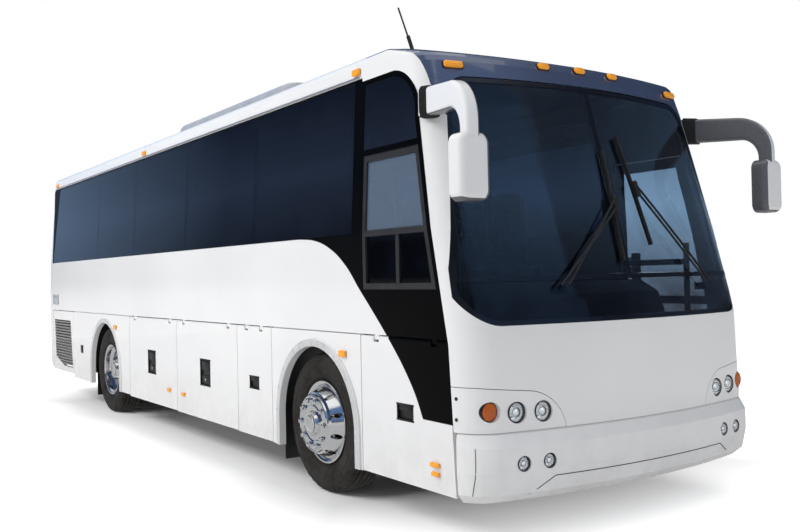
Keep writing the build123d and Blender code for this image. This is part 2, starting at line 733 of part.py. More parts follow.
with BuildPart() as hatch_hinges:
    hinge_seat = tail_shell(-SEAT_GAP, WALL + KNUCKLE_R)
    for side in (-1, 1):
        with BuildPart(mode=Mode.PRIVATE) as hatch_hinge:
            with Locations((side * HATCH_HINGE_X, HATCH_AXIS_Y, HATCH_AXIS_Z)):
                Box(LUG_WIDTH, 2 * KNUCKLE_R, LUG_REACH, align=(Align.CENTER, Align.CENTER, Align.MIN))
            with Locations((side * HATCH_HINGE_X, HATCH_AXIS_Y, HATCH_AXIS_Z + KNUCKLE_R)):
                Box(LUG_WIDTH, WALL, LUG_REACH - KNUCKLE_R, align=(Align.CENTER, Align.MAX, Align.MIN))
            with Locations(Plane(origin=(side * HATCH_HINGE_X, HATCH_AXIS_Y, HATCH_AXIS_Z), z_dir=(1, 0, 0))):
                Cylinder(KNUCKLE_R, LUG_WIDTH)
                Cylinder(6, 3 * LUG_WIDTH + 2 * SWING_GAP)
            add(hinge_seat, mode=Mode.SUBTRACT)
        add(hatch_hinge.part)
keep(hatch_hinges, "hatch_hinges")

# Side doors below the belt, hinged along the top: name, side, Y range, foot, handle size
DOOR_AXIS_Z = BELT_Z - GAP / 2 - DOOR_THICK / 2
DOOR_AXIS_X = HALF - DOOR_THICK / 2
HANDLE_Z = 712
HINGE_IN = 190
SIDE_DOORS = (
    ("fuel_door", -1, SEAM_D_Y, SEAM_C_Y, 274, 180, 110),
    ("luggage_door_right_front", -1, SEAM_C_Y, SEAM_B_Y, 280, 240, 250),
    ("luggage_door_right_rear", -1, SEAM_B_Y, SEAM_A_Y, 286, 240, 250),
    ("battery_door", 1, SEAM_D_Y, SEAM_C_Y, 274, 180, 110),
    ("luggage_door_left_front", 1, SEAM_C_Y, SEAM_B_Y, 280, 240, 250),
    ("luggage_door_left_rear", 1, SEAM_B_Y, SEAM_A_Y, 286, 240, 250),
    ("service_door", -1, PILLAR_LOW_Y, B_POST_Y, SKIRT_Z, 180, 110),
)

# Hinges: lugs with pins let into notches along each hinge edge
PIN_R = 6
LUG_HALF = 25
LUG_THICK = 9
PIN_HALF = LUG_HALF + 35
NOTCH_HALF = LUG_HALF + SWING_GAP
NOTCH_DEPTH = 24

for name, side, y0, y1, foot, handle_w, handle_h in SIDE_DOORS:
    with BuildPart() as door:
        with BuildSketch(cross_plane(y1 - GAP / 2)):
            with Locations((side * DOOR_AXIS_X, (foot + DOOR_AXIS_Z) / 2)):
                Rectangle(DOOR_THICK, DOOR_AXIS_Z - foot)
            with Locations((side * DOOR_AXIS_X, DOOR_AXIS_Z)):
                Circle(DOOR_THICK / 2)
        extrude(amount=y1 - y0 - GAP)
        if name == "service_door":
            add(side_prism(cab_side(-GAP / 2)), mode=Mode.INTERSECT)
        with BuildSketch(Plane.YZ.offset(side * (HALF - 14))):
            with Locations(((y0 + y1) / 2, HANDLE_Z)):
                RectangleRounded(handle_w, handle_h, 14)
        extrude(amount=side * 30, mode=Mode.SUBTRACT)
        with BuildSketch(Plane.YZ.offset(side * (HALF - 14))):
            with Locations(((y0 + y1) / 2, HANDLE_Z + handle_h / 4)):
                RectangleRounded(0.72 * handle_w, 0.3 * handle_h, 8)
        extrude(amount=side * 11)
        for y in (y0 + HINGE_IN, y1 - HINGE_IN):
            with Locations((side * DOOR_AXIS_X, y, DOOR_AXIS_Z)):
                Box(2 * DOOR_THICK, 2 * NOTCH_HALF, 2 * NOTCH_DEPTH, mode=Mode.SUBTRACT)
            with Locations(Plane(origin=(side * DOOR_AXIS_X, y, DOOR_AXIS_Z), z_dir=(0, 1, 0))):
                Cylinder(PIN_R + RUN_GAP, 2 * PIN_HALF + 2 * SWING_GAP, mode=Mode.SUBTRACT)
    keep(door, name)

# Engine side doors, hinged along the rear edge, with a slatted grille
ENGINE_DOOR_FOOT = 345
ENGINE_HINGE_Z = (860, 1060)
ENGINE_AXIS_Y = REAR_SEAM_Y - GAP / 2 - GAP - DOOR_THICK / 2
GRILLE = ((6790, 1050), (6700, 420), (7150, 420), (7590, 530), (7650, 1050))
SLAT_PITCH = 38
for name, side in (("engine_door_right", -1), ("engine_door_left", 1)):
    with BuildPart() as door:
        with BuildSketch(Plane.XY.offset(ENGINE_DOOR_FOOT)):
            middle = (ENGINE_SEAM_Y + GAP / 2 + ENGINE_AXIS_Y) / 2
            with Locations((side * DOOR_AXIS_X, middle)):
                Rectangle(DOOR_THICK, ENGINE_AXIS_Y - ENGINE_SEAM_Y - GAP / 2)
            with Locations((side * DOOR_AXIS_X, ENGINE_AXIS_Y)):
                Circle(DOOR_THICK / 2)
        extrude(amount=BELT_Z - GAP / 2 - ENGINE_DOOR_FOOT)
        with BuildSketch(Plane.YZ):
            with BuildLine():
                Polyline(*[(FRONT_AXLE_Y + y, z) for y, z in GRILLE], close=True)
            make_face()
            with Locations((FRONT_AXLE_Y + 7175, 740)):
                with GridLocations(1, SLAT_PITCH, 1, 18):
                    Rectangle(1400, SLAT_PITCH / 2, mode=Mode.SUBTRACT)
        extrude(amount=side * 2 * HALF, mode=Mode.SUBTRACT)
        for z in ENGINE_HINGE_Z:
            with Locations((side * DOOR_AXIS_X, ENGINE_AXIS_Y, z)):
                Box(2 * DOOR_THICK, 2 * NOTCH_DEPTH, 2 * NOTCH_HALF, mode=Mode.SUBTRACT)
                Cylinder(PIN_R + RUN_GAP, 2 * PIN_HALF + 2 * SWING_GAP, mode=Mode.SUBTRACT)
    keep(door, name)

# Hinge lugs on the body: they hang from the walls above the doors and reach forward from the tail
with BuildPart() as door_hinges:
    for name, side, y0, y1, foot, handle_w, handle_h in SIDE_DOORS:
        for y in (y0 + HINGE_IN, y1 - HINGE_IN):
            with Locations((side * DOOR_AXIS_X, y, DOOR_AXIS_Z - LUG_THICK)):
                lug_height = BELT_Z + GAP / 2 - SEAT_GAP - DOOR_AXIS_Z + LUG_THICK
                Box(2 * LUG_THICK, 2 * LUG_HALF, lug_height, align=(Align.CENTER, Align.CENTER, Align.MIN))
            with Locations(Plane(origin=(side * DOOR_AXIS_X, y, DOOR_AXIS_Z), z_dir=(0, 1, 0))):
                Cylinder(PIN_R, 2 * PIN_HALF)
    for side in (-1, 1):
        for z in ENGINE_HINGE_Z:
            with Locations((side * DOOR_AXIS_X, ENGINE_AXIS_Y - LUG_THICK, z)):
                lug_length = REAR_SEAM_Y - GAP / 2 - ENGINE_AXIS_Y + LUG_THICK
                Box(2 * LUG_THICK, lug_length, 2 * LUG_HALF, align=(Align.CENTER, Align.MIN, Align.CENTER))
            with Locations((side * DOOR_AXIS_X, ENGINE_AXIS_Y, z)):
                Cylinder(PIN_R, 2 * PIN_HALF)
keep(door_hinges, "door_hinges")

# Skirts: fixed panels round the wheel arches with raised lips
SKIRT_THICK = 40
REAR_ARCH_R = 565
LIP_WIDTH = 58
LIP_PROUD = 14
# Arch panels: axle, arch radius, Y range, foot
ARCH_PANELS = (
    (FRONT_AXLE_Y, ARCH_R, B_POST_Y, SEAM_D_Y, SKIRT_Z),
    (REAR_AXLE_Y, REAR_ARCH_R, SEAM_A_Y, ENGINE_SEAM_Y, 300),
)


def arch_shape(axle_y, radius):
    """Wheel opening in side view: a half round with straight legs."""
    with BuildSketch() as opening:
        with Locations((axle_y, TYRE_R)):
            Circle(radius)
        with Locations((axle_y, TYRE_R / 2)):
            Rectangle(2 * radius, TYRE_R)
    return opening.sketch


with BuildPart() as skirts:
    for side in (-1, 1):
        for axle_y, radius, y0, y1, foot in ARCH_PANELS:
            with BuildSketch(mode=Mode.PRIVATE) as face:
                add(side_box(y0 + GAP / 2, y1 - GAP / 2, foot, BELT_Z - GAP / 2))
                add(arch_shape(axle_y, radius), mode=Mode.SUBTRACT)
            with BuildSketch(mode=Mode.PRIVATE) as lip:
                add(arch_shape(axle_y, radius + LIP_WIDTH))
                add(side_box(y0 + GAP / 2, y1 - GAP / 2, foot, BELT_Z), mode=Mode.INTERSECT)
                add(arch_shape(axle_y, radius), mode=Mode.SUBTRACT)
            with BuildPart(mode=Mode.PRIVATE) as panel:
                add(side_piece(side, 0, SKIRT_THICK, face.sketch))
                add(side_piece(side, -LIP_PROUD, SKIRT_THICK, lip.sketch))
                flange = side_box(y0 + GAP / 2, y1 - GAP / 2, BELT_Z - 60, BELT_Z + GAP / 2 - SEAT_GAP)
                add(side_piece(side, SKIRT_THICK / 2, SKIRT_THICK, flange))
            add(panel.part)
keep(skirts, "skirts")

# Floor: passenger deck, riser, cab floor and the entry steps
INNER_HALF = HALF - WALL - SEAT_GAP
STEP_X = 560
STEP_MID_X = 880
CAB_FRONT_Y = FRONT_AXLE_Y - 1500


def slab(x0, x1, y0, y1, z0, z1):
    """Plain block between two corners."""
    with Locations(((x0 + x1) / 2, (y0 + y1) / 2, (z0 + z1) / 2)):
        Box(x1 - x0, y1 - y0, z1 - z0)


PANEL = 20
DECK_THICK = 40
TREAD_Z = (380, 620)
TREAD_THICK = 30
BEARING_R = 40
ARM_X = HALF - 145
ARM_Y = FRONT_AXLE_Y - 1400
SHAFT_R = 22
with BuildPart() as floor_deck:
    riser_y = B_POST_Y - PANEL
    deck_low = DECK_Z - DECK_THICK - SEAT_GAP
    cab_low = CAB_FLOOR_Z - DECK_THICK
    slab(-INNER_HALF, INNER_HALF, riser_y, REAR_SEAM_Y - 20, DECK_Z - DECK_THICK, DECK_Z)
    slab(-INNER_HALF, STEP_X, riser_y, B_POST_Y, CAB_FLOOR_Z + SEAT_GAP, deck_low)
    slab(-INNER_HALF, STEP_X, CAB_FRONT_Y - 80, B_POST_Y, cab_low, CAB_FLOOR_Z)
    slab(STEP_X + SEAT_GAP, INNER_HALF, riser_y, B_POST_Y, TREAD_Z[0] - TREAD_THICK, deck_low)
    low_tread, high_tread = TREAD_Z
    wall_y = CAB_FRONT_Y + PANEL
    tread_y0 = wall_y + SEAT_GAP
    tread_y1 = riser_y - SEAT_GAP
    mid_x = STEP_MID_X - PANEL
    slab(STEP_X - PANEL, STEP_X, CAB_FRONT_Y, tread_y1, high_tread + SEAT_GAP, cab_low - SEAT_GAP)
    slab(STEP_X - PANEL, STEP_MID_X, tread_y0, tread_y1, high_tread - TREAD_THICK, high_tread)
    slab(mid_x, STEP_MID_X, tread_y0, tread_y1, low_tread + SEAT_GAP, high_tread - TREAD_THICK - SEAT_GAP)
    slab(mid_x, INNER_HALF, tread_y0, tread_y1, low_tread - TREAD_THICK, low_tread)
    slab(STEP_X + SEAT_GAP, mid_x - SEAT_GAP, CAB_FRONT_Y, wall_y, high_tread - TREAD_THICK, CAB_FLOOR_Z)
    slab(mid_x, INNER_HALF, CAB_FRONT_Y, wall_y, low_tread - TREAD_THICK, CAB_FLOOR_Z)
    with BuildPart(mode=Mode.PRIVATE) as bearing:
        with Locations((ARM_X, ARM_Y, low_tread + SEAT_GAP)):
            Cylinder(BEARING_R, 30, align=(Align.CENTER, Align.CENTER, Align.MIN))
            Cylinder(SHAFT_R + RUN_GAP, 100, mode=Mode.SUBTRACT)
    add(bearing.part)
keep(floor_deck, "floor_deck")

# Luggage bay between the axles
BAY_FRONT_Y = SEAM_D_Y + 16
BAY_REAR_Y = SEAM_A_Y - 16
with BuildPart() as luggage_bay:
    slab(-INNER_HALF, INNER_HALF, BAY_FRONT_Y, BAY_REAR_Y, BAY_FLOOR_Z - 30, BAY_FLOOR_Z)
    slab(-INNER_HALF, INNER_HALF, BAY_FRONT_Y, BAY_FRONT_Y + 20, BAY_FLOOR_Z - 30, DECK_Z - 40 - SEAT_GAP)
    slab(-INNER_HALF, INNER_HALF, BAY_REAR_Y - 20, BAY_REAR_Y, BAY_FLOOR_Z - 30, DECK_Z - 40 - SEAT_GAP)
keep(luggage_bay, "luggage_bay")

# Chassis: front and rear rails with cross members
FRONT_RAIL_X = 440
REAR_RAIL_X = 500
RAIL_WIDTH = 80
FRONT_RAIL_Z = 550
REAR_RAIL_Z = 620
RAIL_HEIGHT = 150
TOW_PIN_R = 20
JACK_Y = FRONT_AXLE_Y - 1200
JACK_HALF = 60
JACK_THICK = 30
with BuildPart() as chassis_frame:
    front_end = FRONT_AXLE_Y - 1700
    rear_end = REAR_SEAM_Y + 130
    for side in (-1, 1):
        x0, x1 = sorted((side * FRONT_RAIL_X, side * (FRONT_RAIL_X + RAIL_WIDTH)))
        slab(x0, x1, front_end, BAY_FRONT_Y - SEAT_GAP, FRONT_RAIL_Z, FRONT_RAIL_Z + RAIL_HEIGHT)
        pad_z = FRONT_RAIL_Z - SEAT_GAP
        slab(x0 - 20, x1 + 20, JACK_Y - JACK_HALF, JACK_Y + JACK_HALF, FRONT_RAIL_Z - JACK_THICK, pad_z)
        x0, x1 = sorted((side * REAR_RAIL_X, side * (REAR_RAIL_X + RAIL_WIDTH)))
        slab(x0, x1, BAY_REAR_Y + SEAT_GAP, rear_end, REAR_RAIL_Z, REAR_RAIL_Z + RAIL_HEIGHT)
    for y in (front_end + 40, FRONT_AXLE_Y - 900, FRONT_AXLE_Y - 400, FRONT_AXLE_Y + 400):
        reach = FRONT_RAIL_X - SEAT_GAP
        slab(-reach, reach, y - 40, y + 40, FRONT_RAIL_Z + 10, FRONT_RAIL_Z + RAIL_HEIGHT - 10)
    for y in (REAR_AXLE_Y - 500, REAR_AXLE_Y + 520, rear_end - 40):
        reach = REAR_RAIL_X - SEAT_GAP
        slab(-reach, reach, y - 40, y + 40, REAR_RAIL_Z + 10, REAR_RAIL_Z + RAIL_HEIGHT - 10)
    with BuildPart(mode=Mode.PRIVATE) as tow_plate:
        slab(-60, 60, rear_end + SEAT_GAP, rear_end + 90, REAR_RAIL_Z + 40, REAR_RAIL_Z + 80)
        with Locations((0, rear_end + 45, REAR_RAIL_Z + 60)):
            Cylinder(TOW_PIN_R, 100, mode=Mode.SUBTRACT)
    add(tow_plate.part)
keep(chassis_frame, "chassis_frame")

# Engine block slung between the rear rails
with BuildPart() as engine_block:
    slab(-430, 430, REAR_AXLE_Y + 1050, REAR_AXLE_Y + 2250, 440, 1040)
    for y in (REAR_AXLE_Y + 1250, REAR_AXLE_Y + 2050):
        edge = REAR_RAIL_X - SEAT_GAP
        slab(-edge, edge, y - 50, y + 50, REAR_RAIL_Z + 30, REAR_RAIL_Z + 90)
    chamfer(engine_block.edges().filter_by(Axis.Y).group_by(Axis.Z)[-1], 60)
keep(engine_block, "engine_block")

# Rear axle: tube, differential, spindles and spring seats
REAR_SPINDLE_R = 60
with BuildPart() as rear_axle:
    with Locations(Plane(origin=(0, REAR_AXLE_Y, TYRE_R), z_dir=(1, 0, 0))):
        Cylinder(75, 1180)
        Cylinder(REAR_SPINDLE_R, 2300)
    with Locations(Plane(origin=(0, REAR_AXLE_Y, TYRE_R), z_dir=(0, 1, 0))):
        Cylinder(165, 300)
    for side in (-1, 1):
        x0, x1 = sorted((side * REAR_RAIL_X, side * (REAR_RAIL_X + RAIL_WIDTH)))
        slab(x0, x1, REAR_AXLE_Y - 130, REAR_AXLE_Y + 130, TYRE_R + 30, REAR_RAIL_Z - SEAT_GAP)
keep(rear_axle, "rear_axle")

# Front axle: dropped beam with kingpin eyes and spring seats
KINGPIN_R = 25
EYE_R = 55
EYE_HALF = 60
with BuildPart() as front_axle:
    slab(-800, 800, FRONT_AXLE_Y - 45, FRONT_AXLE_Y + 45, 400, 470)
    for side in (-1, 1):
        x0, x1 = sorted((side * 740, side * KINGPIN_X))
        slab(x0, x1, FRONT_AXLE_Y - 40, FRONT_AXLE_Y + 40, TYRE_R - EYE_HALF, TYRE_R + EYE_HALF)
        with Locations((side * KINGPIN_X, FRONT_AXLE_Y, TYRE_R)):
            Cylinder(EYE_R, 2 * EYE_HALF)
        spring_x = side * (FRONT_RAIL_X + RAIL_WIDTH / 2)
        with Locations((spring_x, FRONT_AXLE_Y, (460 + FRONT_RAIL_Z - SEAT_GAP) / 2)):
            Cylinder(75, FRONT_RAIL_Z - SEAT_GAP - 460)
    for side in (-1, 1):
        with Locations((side * KINGPIN_X, FRONT_AXLE_Y, TYRE_R)):
            Cylinder(KINGPIN_R + RUN_GAP, 400, mode=Mode.SUBTRACT)
keep(front_axle, "front_axle")

# Steering knuckles: kingpin, fork, brake plate and spindle
SPINDLE_R = 45
FORK = 50
for name, side in (("knuckle_right", -1), ("knuckle_left", 1)):
    with BuildPart() as knuckle:
        with Locations((side * KINGPIN_X, FRONT_AXLE_Y, TYRE_R)):
            Cylinder(KINGPIN_R, 2 * (EYE_HALF + SWING_GAP + FORK))
        for level in (-1, 1):
            centre = TYRE_R + level * (EYE_HALF + SWING_GAP + FORK / 2)
            with Locations((side * KINGPIN_X, FRONT_AXLE_Y, centre)):
                Cylinder(EYE_R, FORK)
            x0, x1 = sorted((side * KINGPIN_X, side * (KINGPIN_X + 100)))
            slab(x0, x1, FRONT_AXLE_Y - 50, FRONT_AXLE_Y + 50, centre - FORK / 2, centre + FORK / 2)
        x0, x1 = sorted((side * (KINGPIN_X + 72), side * (KINGPIN_X + 100)))
        slab(x0, x1, FRONT_AXLE_Y - 50, FRONT_AXLE_Y + 50, TYRE_R - 116, TYRE_R + 116)
        with Locations(Plane(origin=(side * (KINGPIN_X + 98), FRONT_AXLE_Y, TYRE_R), z_dir=(side, 0, 0))):
            Cylinder(190, 24, align=(Align.CENTER, Align.CENTER, Align.MIN))
            Cylinder(SPINDLE_R, 180, align=(Align.CENTER, Align.CENTER, Align.MIN))
    keep(knuckle, name)

# Wheel profiles as offset from the wheel centre plane and radius
RIM_HALF = 115
HUB_BACK_X = KINGPIN_X + 98 + 24 + 20
SPINDLE_END_X = KINGPIN_X + 98 + 180


def tyre_face(centre):
    """Half section of a tyre about the axle."""
    wide = TYRE_WIDTH / 2
    bead = BEAD_R + SEAT_GAP
    with BuildSketch(Plane.XZ) as face:
        with BuildLine():
            Line((centre - 97, bead), (centre + 97, bead))
            Line((centre + 97, bead), (centre + 98, FLANGE_R + 3))
            for side in (1, -1):
                flange = (centre + side * 98, FLANGE_R + 3)
                bulge = (centre + side * wide, 400)
                wall = (centre + side * (wide - 14), TYRE_R - 28)
                ThreePointArc(flange, bulge, wall)
                shoulder = (centre + side * (wide - 36), TYRE_R - 6)
                ThreePointArc(wall, (centre + side * (wide - 20), TYRE_R - 14), shoulder)
            ThreePointArc((centre + wide - 36, TYRE_R - 6), (centre, TYRE_R), (centre - wide + 36, TYRE_R - 6))
            Line((centre - 98, FLANGE_R + 3), (centre - 97, bead))
        make_face()
    return face.sketch


def barrel_rows(centre):
    """Outer line of a rim barrel from its inboard to its outboard flange."""
    return [
        (centre - RIM_HALF, FLANGE_R),
        (centre - RIM_HALF + 12, FLANGE_R),
        (centre - RIM_HALF + 16, BEAD_R),
        (centre - 78, BEAD_R),
        (centre - 50, BEAD_R - 34),
        (centre + 28, BEAD_R - 34),
        (centre + 56, BEAD_R),
        (centre + RIM_HALF - 16, BEAD_R),
        (centre + RIM_HALF - 12, FLANGE_R),
        (centre + RIM_HALF, FLANGE_R),
    ]


def front_rim_rows():
    """Front rim half section: barrel, outward disc and hub."""
    c = TRACK_X
    face = HUB_FACE_X
    disc = [
        (c + RIM_HALF, BEAD_R + 2),
        (c + 106, BEAD_R - 12),
        (c + 92, BEAD_R - 18),
        (face - 26, 224),
        (face - 12, 209),
        (face, 205),
        (face, 92),
        (face + 26, 84),
        (face + 30, 0),
        (SPINDLE_END_X + SWING_GAP, 0),
        (SPINDLE_END_X + SWING_GAP, SPINDLE_R + RUN_GAP),
        (HUB_BACK_X, SPINDLE_R + RUN_GAP),
        (HUB_BACK_X, 92),
        (face - 14, 92),
        (face - 14, 198),
        (face - 34, 211),
        (c + 76, 252),
        (c + 34, 240),
        (c - 56, 240),
        (c - 84, BEAD_R - 12),
        (c - 106, BEAD_R - 10),
        (c - RIM_HALF, BEAD_R + 2),
    ]
    return barrel_rows(c) + disc


def rear_rim_rows():
    """Twin rim half section: two barrels on back-to-back discs, with the hub."""
    c = TRACK_X
    i = TRACK_X - TWIN_PITCH
    mate = TRACK_X - TWIN_PITCH / 2
    hub_end = 1150 + SWING_GAP
    disc = [
        (c + RIM_HALF, BEAD_R + 2),
        (c + 106, BEAD_R - 12),
        (c + 62, BEAD_R - 14),
        (c + 30, 240),
        (c - 80, 236),
        (mate + 26, 214),
        (mate + 18, 200),
        (mate + 18, 132),
        (hub_end - 20, 120),
        (hub_end + 24, 104),
        (hub_end + 28, 0),
        (hub_end, 0),
        (hub_end, REAR_SPINDLE_R + RUN_GAP),
        (660, REAR_SPINDLE_R + RUN_GAP),
        (660, 110),
        (mate - 18, 120),
        (mate - 18, 200),
        (mate - 26, 214),
        (i + 80, 236),
        (i - 56, 240),
        (i - 84, BEAD_R - 12),
        (i - 106, BEAD_R - 10),
        (i - RIM_HALF, BEAD_R + 2),
    ]
    outer = barrel_rows(c)
    inner = barrel_rows(i)
    neck = [
        (i + RIM_HALF, BEAD_R),
        (i + 106, 262),
        (mate - 20, 250),
        (mate + 20, 250),
        (c - 106, 262),
        (c - RIM_HALF, BEAD_R),
    ]
    return inner + neck + outer + disc


# Wheels: name, side, axle station, half section, tyre centres, hand hole radius and reach
WHEELS = (
    ("front_right", -1, FRONT_AXLE_Y, front_rim_rows, (TRACK_X,), 240, TRACK_X + 60),
    ("front_left", 1, FRONT_AXLE_Y, front_rim_rows, (TRACK_X,), 240, TRACK_X + 60),
    ("rear_right", -1, REAR_AXLE_Y, rear_rim_rows, (TRACK_X, TRACK_X - TWIN_PITCH), 190, 800),
    ("rear_left", 1, REAR_AXLE_Y, rear_rim_rows, (TRACK_X, TRACK_X - TWIN_PITCH), 190, 800),
)
HAND_HOLES = 10

for name, side, axle_y, rows, centres, hole_at, hole_from in WHEELS:
    with BuildPart() as rim:
        with BuildSketch(Plane.XZ):
            with BuildLine():
                Polyline(*rows(), close=True)
            make_face()
        revolve(axis=Axis.X)
        with Locations(Plane(origin=(hole_from, 0, 0), z_dir=(1, 0, 0))):
            with PolarLocations(hole_at, HAND_HOLES):
                Cylinder(20, 330, align=(Align.CENTER, Align.CENTER, Align.MIN), mode=Mode.SUBTRACT)
    with BuildPart() as placed_rim:
        add(Rot(0, 0, 180 if side < 0 else 0) * rim.part)
    placed_rim.part.position = (0, axle_y, TYRE_R)
    keep(placed_rim, f"rim_{name}")
    with BuildPart() as tyre:
        for centre in centres:
            with BuildSketch(Plane.XZ):
                add(tyre_face(side * centre))
            revolve(axis=Axis.X)
    tyre.part.position = (0, axle_y, TYRE_R)
    keep(tyre, f"tyre_{name}")

# Wheel housings with mud flaps: axle, inner radius, inner wall X, axle slot height
SHEET = 6
HOUSINGS = (
    (FRONT_AXLE_Y, 625, 550, 660),
    (REAR_AXLE_Y, 602, 594, 618),
)
with BuildPart() as wheel_housings:
    for axle_y, radius, wall_x, slot_z in HOUSINGS:
        for side in (-1, 1):
            with BuildPart(mode=Mode.PRIVATE) as housing:
                with BuildSketch(Plane.YZ.offset(side * wall_x)):
                    add(arch_shape(axle_y, radius + SHEET))
                    add(side_box(axle_y - 900, axle_y + 900, -900, 420), mode=Mode.SUBTRACT)
                extrude(amount=side * (HALF - SKIRT_THICK - SEAT_GAP - wall_x))
                with BuildSketch(Plane.YZ.offset(side * (wall_x + SHEET))):
                    add(arch_shape(axle_y, radius))
                extrude(amount=side * HALF, mode=Mode.SUBTRACT)
                slot = side_box(axle_y - 140, axle_y + 140, 0, slot_z)
                with BuildSketch(Plane.YZ.offset(side * (wall_x - 10))):
                    add(slot)
                extrude(amount=side * 40, mode=Mode.SUBTRACT)
                x0, x1 = sorted((side * (TRACK_X - 290), side * (HALF - 70)))
                slab(x0, x1, axle_y + radius, axle_y + radius + SHEET, 140, 430)
            add(housing.part)
keep(wheel_housings, "wheel_housings")

# Entry door on the left: panel, glass, brackets; it swings out on an arm
ENTRY_FOOT_Z = 300
ENTRY_THICK = 45
ARM_LENGTH = 560
ARM_PIN_R = 12
ARM_LEVELS = (930, 1620)
ENTRY_GLASS_LOW_Z = 520
ENTRY_BAR_Z = 1330


def entry_pane(z0, z1, margin):
    """Entry door glass between two heights, drawn in by a margin."""
    with BuildSketch() as pane:
        add(cab_side(-75 - margin))
        add(side_box(FRONT_Y, B_POST_Y, z0 + margin, z1 - margin), mode=Mode.INTERSECT)
    return pane.sketch


ENTRY_PANES = ((ENTRY_GLASS_LOW_Z, ENTRY_BAR_Z - 30), (ENTRY_BAR_Z + 30, DOOR_TOP_Z - 80))
with BuildPart() as entry_door:
    with BuildSketch(mode=Mode.PRIVATE) as leaf:
        add(cab_side(-GAP))
        add(side_box(FRONT_Y, B_POST_Y, ENTRY_FOOT_Z, DOOR_TOP_Z), mode=Mode.INTERSECT)
    add(side_piece(1, 0, ENTRY_THICK, leaf.sketch))
    for z0, z1 in ENTRY_PANES:
        add(side_piece(1, -5, 12, entry_pane(z0, z1, -20)), mode=Mode.SUBTRACT)
        add(side_piece(1, -5, ENTRY_THICK + 5, entry_pane(z0, z1, 0)), mode=Mode.SUBTRACT)
    pin_y = ARM_Y + ARM_LENGTH
    slab(HALF - ENTRY_THICK - 20, HALF - ENTRY_THICK, pin_y - 40, pin_y + 40, 880, 1700)
    for level in ARM_LEVELS:
        for step in (-1, 1):
            z = level + step * 38
            slab(ARM_X - 25, HALF - ENTRY_THICK, pin_y - 25, pin_y + 25, z - 8, z + 8)
        with Locations((ARM_X, ARM_Y + ARM_LENGTH, level)):
            Cylinder(ARM_PIN_R, 92)
keep(entry_door, "entry_door")

with BuildPart() as entry_glass:
    for z0, z1 in ENTRY_PANES:
        add(side_piece(1, 2, 12, entry_pane(z0, z1, -19)))
keep(entry_glass, "entry_glass")

SHAFT_TOP_Z = 1760
with BuildPart() as entry_arm:
    shaft_foot = TREAD_Z[0] + SEAT_GAP
    with Locations((ARM_X, ARM_Y, shaft_foot)):
        Cylinder(SHAFT_R, SHAFT_TOP_Z - shaft_foot, align=(Align.CENTER, Align.CENTER, Align.MIN))
    for level in ARM_LEVELS:
        slab(ARM_X - 18, ARM_X + 18, ARM_Y, ARM_Y + ARM_LENGTH, level - 22, level + 22)
        with Locations((ARM_X, ARM_Y + ARM_LENGTH, level)):
            Cylinder(24, 44)
            Cylinder(ARM_PIN_R + RUN_GAP, 60, mode=Mode.SUBTRACT)
keep(entry_arm, "entry_arm")

# Dashboard with the steering wheel on the right
DASH = (
    (-1700, CAB_FLOOR_Z),
    (-1700, 1300),
    (-1650, 1420),
    (-1500, 1500),
    (-1370, 1455),
    (-1350, 1370),
    (-1460, 1240),
    (-1490, CAB_FLOOR_Z),
)
WHEEL_X = -620
with BuildPart() as dashboard:
    with BuildSketch(Plane.YZ.offset(-1000)):
        with BuildLine():
            Polyline(*[(FRONT_AXLE_Y + y, z + SEAT_GAP) for y, z in DASH], close=True)
        make_face()
    extrude(amount=1500)
    column = Plane(origin=(WHEEL_X, FRONT_AXLE_Y - 1240, 1575), z_dir=(0, 0.5, 0.866))
    with Locations(column):
        Torus(225, 15)
        Box(440, 40, 14)
        Cylinder(48, 30)
        Cylinder(26, 230, align=(Align.CENTER, Align.CENTER, Align.MAX))
keep(dashboard, "dashboard")

# Seats: a cushion on its plinth and a leaning back, in side view from the seat's rear foot
CUSHION_PROFILE = ((-400, 0), (-480, 330), (-490, 440), (0, 410), (0, 300), (-80, 0))
BACK_PROFILE = ((SEAT_GAP, 270), (SEAT_GAP, 420), (96, 1130), (172, 1130), (90, 270))
SEAT_WIDTH = 425
SEAT_AISLE = 285
SEAT_PAIR = 2 * SEAT_WIDTH + 20
ROW_PITCH = 770
FIRST_ROW_Y = FRONT_AXLE_Y + 260
ROW_COUNT = 9


def seat_solid(profile, x0, width, y, floor_z):
    """One seat piece: its side profile carried across its width."""
    with BuildPart() as piece:
        with BuildSketch(Plane.YZ.offset(x0)):
            with BuildLine():
                Polyline(*[(y + dy, floor_z + SEAT_GAP + dz) for dy, dz in profile], close=True)
            make_face()
        extrude(amount=width)
    return piece.part


with BuildPart() as passenger_seats:
    for row in range(ROW_COUNT):
        for x0 in (-SEAT_AISLE - SEAT_PAIR, SEAT_AISLE):
            for profile in (CUSHION_PROFILE, BACK_PROFILE):
                add(seat_solid(profile, x0, SEAT_PAIR, FIRST_ROW_Y + row * ROW_PITCH, DECK_Z))
keep(passenger_seats, "passenger_seats")

with BuildPart() as driver_seat:
    for profile in (CUSHION_PROFILE, BACK_PROFILE):
        add(seat_solid(profile, WHEEL_X - 250, 500, FRONT_AXLE_Y - 830, CAB_FLOOR_Z))
keep(driver_seat, "driver_seat")

# Parcel racks above the windows
with BuildPart() as parcel_racks:
    for side in (-1, 1):
        with BuildSketch(cross_plane(REAR_SEAM_Y - 120)):
            wall_x = HALF - WALL - LEAN * (2760 - SILL_Z) / (HEADER_Z - SILL_Z) - SEAT_GAP
            with BuildLine():
                rack = ((wall_x, 2640), (800, 2660), (760, 2700), (770, 2740), (wall_x, 2760))
                Polyline(*[(side * x, z) for x, z in rack], close=True)
            make_face()
        extrude(amount=REAR_SEAM_Y - 120 - B_POST_Y - 150)
keep(parcel_racks, "parcel_racks")

